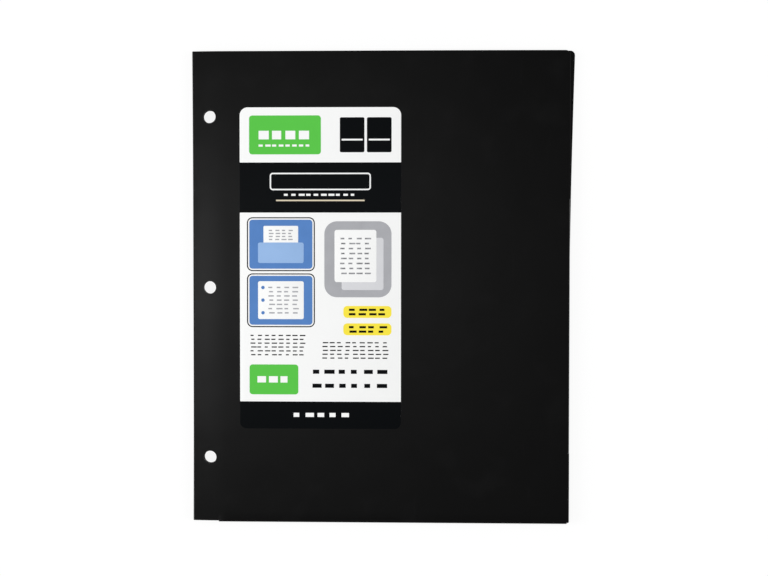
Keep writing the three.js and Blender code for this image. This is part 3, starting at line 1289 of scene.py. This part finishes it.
@dataclass
class SpineStrip:
    """The narrow strip between the creases, bowed outwards and rounded about both creases."""

    plan: FolderPlan
    least_bow: float = 0.1
    most_bow: float = 0.55
    end_steps: int = 8
    face_steps: int = 8
    pitch: float = 6.0

    def section(self, y: float) -> list[Vector]:
        """Draws the strip's section, which bows out more towards its ends.

        Args:
            y: the place along the strip.

        Returns:
            Its points in X and Z, clockwise from the outer face's lower end.
        """
        plan = self.plan
        radius = plan.sheet / 2
        low, high = plan.back_crease, plan.front_crease
        bow = self.least_bow + (self.most_bow - self.least_bow) * (y / plan.top_edge) ** 2

        def bowed(offset: float, share: float) -> Vector:
            """Returns a point of a long face, bowed outwards."""
            bulge = bow * math.sin(math.pi * share) ** 2
            return Vector((plan.crease_x + offset - bulge, low + (high - low) * share))

        def end(centre: float, first: float) -> list[Vector]:
            """Draws a round end, clockwise.

            Args:
                centre: its centre's height.
                first: the angle at which it starts.

            Returns:
                Its points.
            """
            middle = Vector((plan.crease_x, centre))
            turns = [first - math.pi * k / self.end_steps for k in range(self.end_steps + 1)]
            return [middle + radius * Vector((math.cos(turn), math.sin(turn))) for turn in turns]

        shares = [k / self.face_steps for k in range(1, self.face_steps)]
        outer = [bowed(-radius, share) for share in shares]
        inner = [bowed(radius, 1 - share) for share in shares]
        return [*outer, *end(high, math.pi), *inner, *end(low, 0.0)]

    def build(self, cover: CoverSheet, finish: bpy.types.Material) -> bpy.types.Object:
        """Makes the strip and lets it stand for its solid.

        Args:
            cover: a cover, which gives the strip its length.
            finish: the sheet's material.

        Returns:
            The finished piece.
        """
        shell = bmesh.new()
        stations = spread(cover.cover_bottom, self.plan.top_edge, self.pitch)
        rings = [[shell.verts.new((p.x, y, p.y)) for p in self.section(y)] for y in stations]
        for ring, following in zip(rings, rings[1:]):
            for k in range(len(ring)):
                shell.faces.new((ring[k - 1], ring[k], following[k], following[k - 1]))
        shell.faces.new(rings[0][::-1])
        shell.faces.new(rings[-1])
        bmesh.ops.recalc_face_normals(shell, faces=shell.faces[:])
        soften_rims(shell, cover.rim)
        piece = finished_piece(
            "spine_sheet", mesh_of("spine_sheet", shell), Body.SPINE, finish
        )
        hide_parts("spine_strip")
        return piece


# Repeated details, made by node trees


def run_tree(tree: bpy.types.NodeTree, values: dict[str, object], name: str) -> bpy.types.Mesh:
    """Runs a geometry tree once and returns its result as a plain mesh.

    Args:
        tree: the geometry node tree.
        values: values for its inputs, by name.
        name: the name of the mesh.

    Returns:
        The mesh.
    """
    carrier = bpy.data.objects.new(name, bpy.data.meshes.new(name))
    bpy.context.scene.collection.objects.link(carrier)
    modifier = carrier.modifiers.new(name, "NODES")
    modifier.node_group = tree
    for item in tree.interface.items_tree:
        if item.item_type == "SOCKET" and item.in_out == "INPUT" and item.name in values:
            modifier[item.identifier] = values[item.name]
    evaluated = carrier.evaluated_get(bpy.context.evaluated_depsgraph_get())
    mesh = bpy.data.meshes.new_from_object(evaluated)
    bpy.data.objects.remove(carrier)
    mesh.name = name
    return mesh


def close_tree(tree: TreeBuilder, shape: bpy.types.NodeSocket, material: bpy.types.NodeSocket) -> None:
    """Ends a geometry tree: real instances, one material, one output.

    Args:
        tree: the tree's builder.
        shape: the geometry so far.
        material: the group input that carries the material.
    """
    real = tree.add("GeometryNodeRealizeInstances", {"Geometry": shape})
    dressed = tree.add("GeometryNodeSetMaterial", {"Geometry": real.outputs[0], "Material": material})
    leave = tree.add("NodeGroupOutput")
    tree.feed(leave.inputs["Geometry"], dressed.outputs[0])


@dataclass(frozen=True)
class PadRow:
    """Geometry tree: a row of small domed pads, such as the ribs that a welding bar leaves."""

    name: str = "pad_row"
    segments: int = 12
    rings: int = 6

    def build(self) -> bpy.types.NodeTree:
        """Makes the tree, with Count, Step, Pad Size and Material as inputs.

        Returns:
            The tree.
        """
        tree, entry = new_group(
            self.name,
            "GeometryNodeTree",
            {
                "Count": (Field.WHOLE, 10),
                "Step": (Field.VECTOR, (0.0, 1.6, 0.0)),
                "Pad Size": (Field.VECTOR, (2.0, 0.8, 0.1)),
                "Material": (Field.MATERIAL, None),
            },
            {"Geometry": Field.GEOMETRY},
        )
        row = tree.add("GeometryNodeMeshLine", mode="OFFSET")
        tree.feed(row.inputs["Count"], entry.outputs["Count"])
        tree.feed(row.inputs["Offset"], entry.outputs["Step"])
        pad = tree.add(
            "GeometryNodeMeshUVSphere", {"Segments": self.segments, "Rings": self.rings, "Radius": 0.5}
        )
        placed = tree.add(
            "GeometryNodeInstanceOnPoints",
            {"Points": row.outputs[0], "Instance": pad.outputs[0], "Scale": entry.outputs["Pad Size"]},
        )
        close_tree(tree, placed.outputs[0], entry.outputs["Material"])
        return tree.tree


@dataclass(frozen=True)
class PrintRows:
    """Geometry tree: rows of short bars of unequal length, which stand for small print."""

    name: str = "print_rows"

    def build(self) -> bpy.types.NodeTree:
        """Makes the tree, with the field's sizes, the bars' sizes, a seed and Material as inputs.

        Returns:
            The tree.
        """
        tree, entry = new_group(
            self.name,
            "GeometryNodeTree",
            {
                "Columns": (Field.WHOLE, 5),
                "Rows": (Field.WHOLE, 3),
                "Width": (Field.FLOAT, 30.0),
                "Height": (Field.FLOAT, 8.0),
                "Bar Height": (Field.FLOAT, 1.0),
                "Shortest": (Field.FLOAT, 3.0),
                "Longest": (Field.FLOAT, 5.0),
                "Stagger": (Field.VECTOR, (0.5, 0.0, 0.0)),
                "Ink": (Field.FLOAT, 0.05),
                "Seed": (Field.WHOLE, 1),
                "Material": (Field.MATERIAL, None),
            },
            {"Geometry": Field.GEOMETRY},
        )
        spots = tree.add("GeometryNodeMeshGrid")
        for socket, label in (
            ("Size X", "Width"), ("Size Y", "Height"), ("Vertices X", "Columns"), ("Vertices Y", "Rows")
        ):
            tree.feed(spots.inputs[socket], entry.outputs[label])
        shift = tree.add("FunctionNodeRandomValue", data_type="FLOAT_VECTOR")
        tree.feed(shift.inputs["Min"], (0.0, 0.0, 0.0))
        tree.feed(shift.inputs["Max"], entry.outputs["Stagger"])
        tree.feed(shift.inputs["Seed"], entry.outputs["Seed"])
        staggered = tree.add(
            "GeometryNodeSetPosition", {"Geometry": spots.outputs[0], "Offset": shift.outputs[0]}
        )
        bar = tree.add("GeometryNodeMeshCube", {"Size": (1.0, 1.0, 1.0)})
        raised = tree.add(
            "GeometryNodeTransform", {"Geometry": bar.outputs[0], "Translation": (0.5, 0.0, 0.5)}
        )
        length = tree.add("FunctionNodeRandomValue", data_type="FLOAT")
        tree.feed(length.inputs[2], entry.outputs["Shortest"])
        tree.feed(length.inputs[3], entry.outputs["Longest"])
        tree.feed(length.inputs["Seed"], entry.outputs["Seed"])
        size = tree.add("ShaderNodeCombineXYZ")
        tree.feed(size.inputs["X"], length.outputs[1])
        tree.feed(size.inputs["Y"], entry.outputs["Bar Height"])
        tree.feed(size.inputs["Z"], entry.outputs["Ink"])
        placed = tree.add(
            "GeometryNodeInstanceOnPoints",
            {"Points": staggered.outputs[0], "Instance": raised.outputs[0], "Scale": size.outputs[0]},
        )
        close_tree(tree, placed.outputs[0], entry.outputs["Material"])
        return tree.tree


@dataclass(frozen=True)
class FrameLine:
    """Geometry tree: a line of print that follows a rectangle with rounded corners."""

    name: str = "frame_line"
    corner_steps: int = 6

    def build(self) -> bpy.types.NodeTree:
        """Makes the tree, with the rectangle's sizes, the line's sizes and Material as inputs.

        Returns:
            The tree.
        """
        tree, entry = new_group(
            self.name,
            "GeometryNodeTree",
            {
                "Width": (Field.FLOAT, 40.0),
                "Height": (Field.FLOAT, 30.0),
                "Corner": (Field.FLOAT, 3.0),
                "Line": (Field.FLOAT, 0.5),
                "Ink": (Field.FLOAT, 0.05),
                "Material": (Field.MATERIAL, None),
            },
            {"Geometry": Field.GEOMETRY},
        )
        path = tree.add(
            "GeometryNodeCurvePrimitiveQuadrilateral",
            {"Width": entry.outputs["Width"], "Height": entry.outputs["Height"]},
        )
        rounded = tree.add(
            "GeometryNodeFilletCurve",
            {"Curve": path.outputs[0], "Count": self.corner_steps, "Radius": entry.outputs["Corner"]},
            mode="POLY",
        )
        upright = tree.add("GeometryNodeSetCurveNormal", {"Curve": rounded.outputs[0]}, mode="Z_UP")
        section = tree.add(
            "GeometryNodeCurvePrimitiveQuadrilateral",
            {"Width": entry.outputs["Line"], "Height": entry.outputs["Ink"]},
        )
        swept = tree.add(
            "GeometryNodeCurveToMesh",
            {"Curve": upright.outputs[0], "Profile Curve": section.outputs[0]},
        )
        close_tree(tree, swept.outputs[0], entry.outputs["Material"])
        return tree.tree


@dataclass
class PocketWelds:
    """The ribbed welds down both sides of a cover's pocket."""

    cover: CoverSheet
    pitch: float = 1.7
    rib_size: tuple[float, float, float] = (1.5, 0.95, 0.14)
    end_margin: float = 4.0

    def build(self, tree: bpy.types.NodeTree, finish: bpy.types.Material) -> bpy.types.Object:
        """Makes the ribs of both welds of one pocket.

        Args:
            tree: the pad row tree.
            finish: the sheet's material.

        Returns:
            The finished piece.
        """
        cover, plan = self.cover, self.cover.plan
        near, far = cover.pocket_sides
        start = cover.cover_bottom + 2 * cover.weld_slope
        mouth = plan.bottom_fold + cover.pocket_height - self.end_margin
        level = 2 * plan.sheet + cover.weld_gap
        half = cover.weld_width / 2
        ribs = bmesh.new()
        for x, end in ((near + half, mouth - cover.pocket_inner_corner), (far - half, mouth)):
            values = {
                "Count": int((end - start) / self.pitch),
                "Step": (0.0, self.pitch, 0.0),
                "Pad Size": self.rib_size,
                "Material": finish,
            }
            mesh = run_tree(tree, values, "weld_row")
            mesh.transform(Matrix.Translation((x, start, level)))
            ribs.from_mesh(mesh)
        if cover.body is Body.FRONT:
            flip = Matrix.Diagonal((1, 1, -1, 1))
            ribs.transform(Matrix.Translation((0, 0, plan.closed_thickness)) @ flip)
            bmesh.ops.reverse_faces(ribs, faces=ribs.faces[:])
        name = f"{cover.body.value}_pocket_welds"
        return finished_piece(name, mesh_of(name, ribs), cover.body, finish)


# Label


class Ground(Enum):
    """What a piece of print lies on: the bare paper, a printed field, or print on such a field."""

    PAPER = 0
    FIELD = 1
    PRINT = 2


@dataclass(frozen=True)
class Bars:
    """A rectangle of the label, from its lower left corner, filled with rows of bars."""

    name: str
    low: tuple[float, float]
    high: tuple[float, float]
    ink: Ink
    ground: Ground
    columns: int
    rows: int
    height: float
    seed: int


@dataclass(frozen=True)
class Patch:
    """A rounded rectangle of print, from the label's lower left corner."""

    name: str
    low: tuple[float, float]
    high: tuple[float, float]
    radius: float
    ink: Ink
    ground: Ground


PICTURES = (
    Patch("label_folder_sheet", (15, 110), (37, 128.5), 0.8, Ink.PAPER, Ground.FIELD),
    Patch("label_folder_pocket", (11.5, 105), (40.5, 118), 1.2, Ink.PALE_BLUE, Ground.PRINT),
    Patch("label_punched_sheet", (11.5, 69.5), (40.5, 93.5), 1.2, Ink.PAPER, Ground.FIELD),
    Patch("label_rear_page", (64.5, 88), (91, 121), 1.5, Ink.PALE_GREY, Ground.FIELD),
    Patch("label_front_page", (60, 93), (86.5, 126), 1.5, Ink.PAPER, Ground.PRINT),
)

SMALL_PRINT = (
    Bars("label_bars_header", (12, 182.5), (46, 189), Ink.PAPER, Ground.FIELD, 4, 1, 5.4, 3),
    Bars("label_bars_header_note", (12, 178.3), (46, 180), Ink.PAPER, Ground.FIELD, 8, 1, 1.3, 5),
    Bars("label_bars_band", (28, 147.2), (75, 149), Ink.PAPER, Ground.FIELD, 10, 1, 1.3, 8),
    Bars("label_bars_folder_sheet", (18, 119.5), (34.5, 126), Ink.GREY, Ground.PRINT, 4, 4, 0.8, 2),
    Bars("label_bars_punched_sheet", (18, 73), (38, 90), Ink.GREY, Ground.PRINT, 4, 7, 0.9, 4),
    Bars("label_bars_page", (63.5, 98), (84, 121), Ink.GREY, Ground.PRINT, 4, 8, 1.0, 6),
    Bars("label_bars_mark_1", (68.5, 72.0), (94, 76.2), Ink.BLACK, Ground.FIELD, 4, 2, 1.4, 11),
    Bars("label_bars_mark_2", (68.5, 61.0), (94, 65.2), Ink.BLACK, Ground.FIELD, 4, 2, 1.4, 12),
    Bars("label_bars_notes", (6.5, 46.5), (42, 59.5), Ink.BLACK, Ground.PAPER, 8, 6, 0.75, 9),
    Bars("label_bars_figures", (52, 44.5), (95, 55), Ink.BLACK, Ground.PAPER, 9, 5, 0.75, 10),
    Bars("label_bars_size", (45, 26), (95, 37.5), Ink.BLACK, Ground.PAPER, 6, 2, 2.6, 13),
    Bars("label_bars_foot_block", (11, 29), (33, 33.5), Ink.PAPER, Ground.FIELD, 3, 1, 4.0, 14),
    Bars("label_bars_foot", (34, 7.3), (72, 10.2), Ink.PAPER, Ground.FIELD, 5, 1, 2.6, 15),
)


@dataclass
class Label:
    """The paper label on the front cover, and the print that the solids don't carry."""

    finishes: Finishes
    top_radius: float = 5.0
    bottom_radius: float = 4.0
    rim: float = 0.03
    ink: float = 0.03
    lift: float = 0.004
    frame_margin: float = 1.2
    frame_line: float = 0.7
    field_radius: float = 2.0
    dot_radius: float = 1.1
    dot_column: float = 14.6
    dot_rows: tuple[float, ...] = (73.5, 81.5, 89.5)
    dot_steps: int = 24
    corner_steps: int = 10
    shortest_bar: float = 0.42
    longest_bar: float = 0.8
    stagger: float = 0.16
    low: Vector = field(init=False)
    high: Vector = field(init=False)
    field_top: float = field(init=False)

    def __post_init__(self) -> None:
        """Reads the label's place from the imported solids."""
        self.low, self.high = (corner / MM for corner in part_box("label_sheet"))
        self.field_top = (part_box("label_foot_black")[1] / MM).z

    def level(self, ground: Ground) -> float:
        """Works out the height at which print starts.

        Args:
            ground: what the print lies on.

        Returns:
            The height.
        """
        if ground is Ground.PAPER:
            return self.high.z + self.lift
        return self.field_top + self.lift + (ground.value - 1) * (self.ink + self.lift)

    def sheet(
        self,
        name: str,
        low: Vector,
        high: Vector,
        radii: tuple[float, float],
        ink: Ink,
    ) -> bpy.types.Object:
        """Makes a thin rounded rectangle with soft edges.

        Args:
            name: the piece's name.
            low: its lowest corner.
            high: its highest corner.
            radii: radius of its upper and of its lower corners.
            ink: its finish.

        Returns:
            The finished piece.
        """
        upper, lower = radii
        outline = rounded_outline(
            [
                Corner(low.x, low.y, lower),
                Corner(high.x, low.y, lower),
                Corner(high.x, high.y, upper),
                Corner(low.x, high.y, upper),
            ],
            self.corner_steps,
        )
        thickness = high.z - low.z
        shell = shell_from_plate(
            gridded_plate([outline]),
            lambda u, v, depth: Vector((u, v, low.z + depth * thickness)),
        )
        soften_rims(shell, min(self.rim, thickness / 4))
        return finished_piece(name, mesh_of(name, shell), Body.FRONT, self.finishes.inks[ink])

    def patch(self, patch: Patch) -> bpy.types.Object:
        """Prints one rounded rectangle.

        Args:
            patch: where it goes and what it is like.

        Returns:
            The finished piece.
        """
        level = self.level(patch.ground)
        low = Vector((self.low.x + patch.low[0], self.low.y + patch.low[1], level))
        high = Vector((self.low.x + patch.high[0], self.low.y + patch.high[1], level + self.ink))
        return self.sheet(patch.name, low, high, (patch.radius, patch.radius), patch.ink)

    def printed(self, name: str, mesh: bpy.types.Mesh, place: Vector, ink: Ink) -> bpy.types.Object:
        """Moves a mesh of print into place and finishes it.

        Args:
            name: the piece's name.
            mesh: the print, round its own centre.
            place: where its centre goes.
            ink: its finish.

        Returns:
            The finished piece.
        """
        mesh.transform(Matrix.Translation(place))
        return finished_piece(name, mesh, Body.FRONT, self.finishes.inks[ink])

    def bars(self, tree: bpy.types.NodeTree, bars: Bars) -> bpy.types.Object:
        """Prints rows of bars.

        Args:
            tree: the print rows tree.
            bars: where they go and what they are like.

        Returns:
            The finished piece.
        """
        width, height = bars.high[0] - bars.low[0], bars.high[1] - bars.low[1]
        cell = width / bars.columns
        values = {
            "Columns": bars.columns,
            "Rows": bars.rows,
            "Width": width - cell,
            "Height": height - bars.height,
            "Bar Height": bars.height,
            "Shortest": cell * self.shortest_bar,
            "Longest": cell * self.longest_bar,
            "Stagger": (cell * self.stagger if bars.rows > 1 else 0.0, 0.0, 0.0),
            "Ink": self.ink,
            "Seed": bars.seed,
            "Material": self.finishes.inks[bars.ink],
        }
        mesh = run_tree(tree, values, bars.name)
        middle = bars.low[0] + (width - cell) / 2, bars.low[1] + height / 2
        place = Vector((self.low.x + middle[0], self.low.y + middle[1], self.level(bars.ground)))
        return self.printed(bars.name, mesh, place, bars.ink)

    def frame(self, tree: bpy.types.NodeTree, name: str, node: str, ink: Ink) -> bpy.types.Object:
        """Draws a rounded frame round a printed field.

        Args:
            tree: the frame line tree.
            name: the piece's name.
            node: the solid that the frame goes round.
            ink: the line's finish.

        Returns:
            The finished piece.
        """
        low, high = (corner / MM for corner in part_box(node))
        values = {
            "Width": high.x - low.x + 2 * self.frame_margin,
            "Height": high.y - low.y + 2 * self.frame_margin,
            "Corner": self.field_radius + self.frame_margin,
            "Line": self.frame_line,
            "Ink": self.ink,
            "Material": self.finishes.inks[ink],
        }
        mesh = run_tree(tree, values, name)
        middle = (low + high) / 2
        level = self.level(Ground.PAPER) + self.ink / 2
        return self.printed(name, mesh, Vector((middle.x, middle.y, level)), ink)

    def dots(self) -> bpy.types.Object:
        """Prints the three holes of the punched sheet.

        Returns:
            The finished piece.
        """
        shell = bmesh.new()
        level = self.level(Ground.PRINT)
        for row in self.dot_rows:
            centre = (self.low.x + self.dot_column, self.low.y + row, level + self.ink / 2)
            bmesh.ops.create_cone(
                shell,
                cap_ends=True,
                segments=self.dot_steps,
                radius1=self.dot_radius,
                radius2=self.dot_radius,
                depth=self.ink,
                matrix=Matrix.Translation(centre),
            )
        name = "label_punched_dots"
        return finished_piece(
            name, mesh_of(name, shell), Body.FRONT, self.finishes.inks[Ink.BLUE]
        )

    def dress_fields(self) -> None:
        """Gives each printed solid the finish of its ink."""
        for part in frame["record"]["subparts"]:
            if part["node"].startswith("label_") and part["node"] != "label_sheet":
                node = frame["nodes"][part["node"]]
                node.data.materials.clear()
                node.data.materials.append(self.finishes.inks[Ink.of_slot(part["material_slot"])])

    def build(self, rows: bpy.types.NodeTree, line: bpy.types.NodeTree) -> None:
        """Makes the paper and all its print.

        Args:
            rows: the print rows tree.
            line: the frame line tree.
        """
        radii = (self.top_radius, self.bottom_radius)
        paper = self.sheet("label_paper_sheet", self.low, self.high, radii, Ink.PAPER)
        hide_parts("label_sheet")
        self.dress_fields()
        for index in (1, 2):
            self.frame(line, f"label_panel_frame_{index}", f"label_panel_blue_{index}", Ink.BLACK)
        for patch in PICTURES:
            self.patch(patch)
        self.dots()
        for bars in SMALL_PRINT:
            self.bars(rows, bars)


# Studio and camera


@dataclass(frozen=True)
class Lamp:
    """A square soft lamp that points at the folder, and shows in its sheen or not."""

    name: str
    place: tuple[float, float, float]
    side: float
    power: float
    in_sheen: bool

    def build(self) -> bpy.types.Object:
        """Makes the lamp.

        Returns:
            The lamp.
        """
        data = bpy.data.lights.new(self.name, "AREA")
        data.shape = "SQUARE"
        data.size = self.side
        data.energy = self.power
        lamp = bpy.data.objects.new(self.name, data)
        lamp.location = self.place
        lamp.rotation_euler = Vector(self.place).to_track_quat("Z", "Y").to_euler()
        lamp.visible_glossy = self.in_sheen
        bpy.context.scene.collection.objects.link(lamp)
        return lamp


@dataclass
class Studio:
    """White floor, white surroundings, a dark card overhead and soft lamps."""

    floor_side: float = 12.0
    floor_level: float = -0.0002
    glow: float = 0.88
    ambient: float = 0.62
    card_side: float = 14.0
    card_height: float = 1.9
    card_glow: tuple[float, float] = (0.085, 0.5)
    card_reach: tuple[float, float] = (2.2, 6.0)
    lamps: tuple[Lamp, ...] = (
        Lamp("side_lamp", (-3.4, 0.0, 1.65), 1.6, 86.0, False),
        Lamp("fill_lamp", (3.4, 0.0, 1.65), 1.6, 50.0, False),
        Lamp("spine_lamp", (-0.62, -0.05, 1.65), 0.25, 0.82, True),
        Lamp("overhead_lamp", (-0.16, 0.02, 1.8), 0.5, 0.32, True),
    )

    def seen_by_eye(self, tree: TreeBuilder) -> bpy.types.NodeSocket:
        """Marks the rays that show the white surroundings: from the camera, gloss and glass.

        Args:
            tree: the builder of the material or the world.

        Returns:
            The mask, 1 for those rays.
        """
        rays = tree.add("ShaderNodeLightPath").outputs
        seen = tree.compute("MAXIMUM", rays["Is Camera Ray"], rays["Is Glossy Ray"])
        return tree.compute("MAXIMUM", seen, rays["Is Transmission Ray"])

    def floor(self) -> bpy.types.Object:
        """Makes the floor, which looks white and keeps the folder's shadow.

        Returns:
            The floor.
        """
        material, tree = blank_material("studio_floor")
        matte = tree.add("ShaderNodeBsdfDiffuse", {"Color": WHITE})
        glow = tree.add("ShaderNodeEmission", {"Color": WHITE, "Strength": 1.0})
        share = tree.compute("MULTIPLY", self.seen_by_eye(tree), self.glow)
        parts = {0: share, 1: matte.outputs[0], 2: glow.outputs[0]}
        look = tree.add("ShaderNodeMixShader", parts)
        tree.add("ShaderNodeOutputMaterial", {"Surface": look.outputs[0]})
        return self.plate("studio_floor", self.floor_side, self.floor_level, material)

    def card(self) -> bpy.types.Object:
        """Makes the card overhead that the folder's sheen sees: dark in its middle, paler outwards.

        Returns:
            The card.
        """
        material, tree = blank_material("studio_card")
        place = tree.add("ShaderNodeTexCoord").outputs["Object"]
        outwards = tree.add("ShaderNodeVectorMath", {0: place}, operation="LENGTH")
        shade = tree.remap(outwards.outputs["Value"], self.card_reach, self.card_glow)
        dim = tree.add("ShaderNodeEmission", {"Color": WHITE, "Strength": shade})
        tree.add("ShaderNodeOutputMaterial", {"Surface": dim.outputs[0]})
        card = self.plate("studio_card", self.card_side, self.card_height, material)
        card.visible_camera = False
        card.visible_diffuse = False
        card.visible_shadow = False
        return card

    def plate(self, name: str, side: float, level: float, material: bpy.types.Material) -> bpy.types.Object:
        """Makes a square sheet of the studio.

        Args:
            name: its name.
            side: length of its sides.
            level: its height.
            material: its finish.

        Returns:
            The sheet.
        """
        half = side / 2
        mesh = bpy.data.meshes.new(name)
        corners = [(-half, -half, level), (half, -half, level), (half, half, level), (-half, half, level)]
        mesh.from_pydata(corners, [], [(0, 1, 2, 3)])
        mesh.materials.append(material)
        sheet = bpy.data.objects.new(name, mesh)
        bpy.context.scene.collection.objects.link(sheet)
        return sheet

    def sky(self) -> None:
        """Makes surroundings that look white and light the folder softly."""
        world = bpy.data.worlds.new("studio_sky")
        world.use_nodes = True
        world.node_tree.nodes.clear()
        tree = TreeBuilder(world.node_tree)
        strength = tree.remap(self.seen_by_eye(tree), onto=(self.ambient, 1.0))
        background = tree.add("ShaderNodeBackground", {"Color": WHITE, "Strength": strength})
        tree.add("ShaderNodeOutputWorld", {"Surface": background.outputs[0]})
        bpy.context.scene.world = world

    def build(self) -> None:
        """Makes the whole studio."""
        self.floor()
        self.card()
        self.sky()
        for lamp in self.lamps:
            lamp.build()
        bpy.context.scene.view_settings.view_transform = "Standard"


@dataclass(frozen=True)
class PhotoCamera:
    """The camera above the folder, leaning a little towards its top edge and its fore edge."""

    target: tuple[float, float, float] = (0.00198, -0.0003, 0.0)
    distance: float = 0.9
    lean_up: float = math.radians(1.62)
    lean_right: float = math.radians(1.96)
    roll: float = math.radians(0.04)
    focal_px: float = 1417.7
    sensor_mm: float = 36.0

    def build(self) -> bpy.types.Object:
        """Makes the camera and makes it the scene's own.

        Returns:
            The camera.
        """
        away = Vector(
            (
                math.sin(self.lean_right) * math.cos(self.lean_up),
                math.sin(self.lean_up),
                math.cos(self.lean_right) * math.cos(self.lean_up),
            )
        )
        right = Vector((0, 1, 0)).cross(away).normalized()
        up = away.cross(right)
        rolled_right = math.cos(self.roll) * right + math.sin(self.roll) * up
        rolled_up = math.cos(self.roll) * up - math.sin(self.roll) * right
        data = bpy.data.cameras.new("photo_camera")
        data.sensor_width = self.sensor_mm
        data.lens = self.focal_px / PHOTO_WIDTH_PX * self.sensor_mm
        camera = bpy.data.objects.new("photo_camera", data)
        turn = Matrix((rolled_right, rolled_up, away)).transposed()
        camera.matrix_world = Matrix.Translation(Vector(self.target) + away * self.distance) @ turn.to_4x4()
        bpy.context.scene.collection.objects.link(camera)
        bpy.context.scene.camera = camera
        return camera


def main() -> None:
    """Builds the studio, the camera and the folder's pieces in order."""
    logging.basicConfig(level=logging.INFO, format="%(name)s: %(message)s")
    Studio().build()
    PhotoCamera().build()
    plan = FolderPlan.from_frame()
    finishes = Finishes().build()
    back = CoverSheet(plan, Body.BACK, fore_drift=3.1)
    front = CoverSheet(plan, Body.FRONT, corner_sag=1.2)
    ribs = PadRow().build()
    for cover in (back, front):
        cover.build(finishes.cover)
        PocketWelds(cover).build(ribs, finishes.weld)
    SpineStrip(plan).build(back, finishes.crease)
    Label(finishes).build(PrintRows().build(), FrameLine().build())


if __name__ == "__main__":
    main()
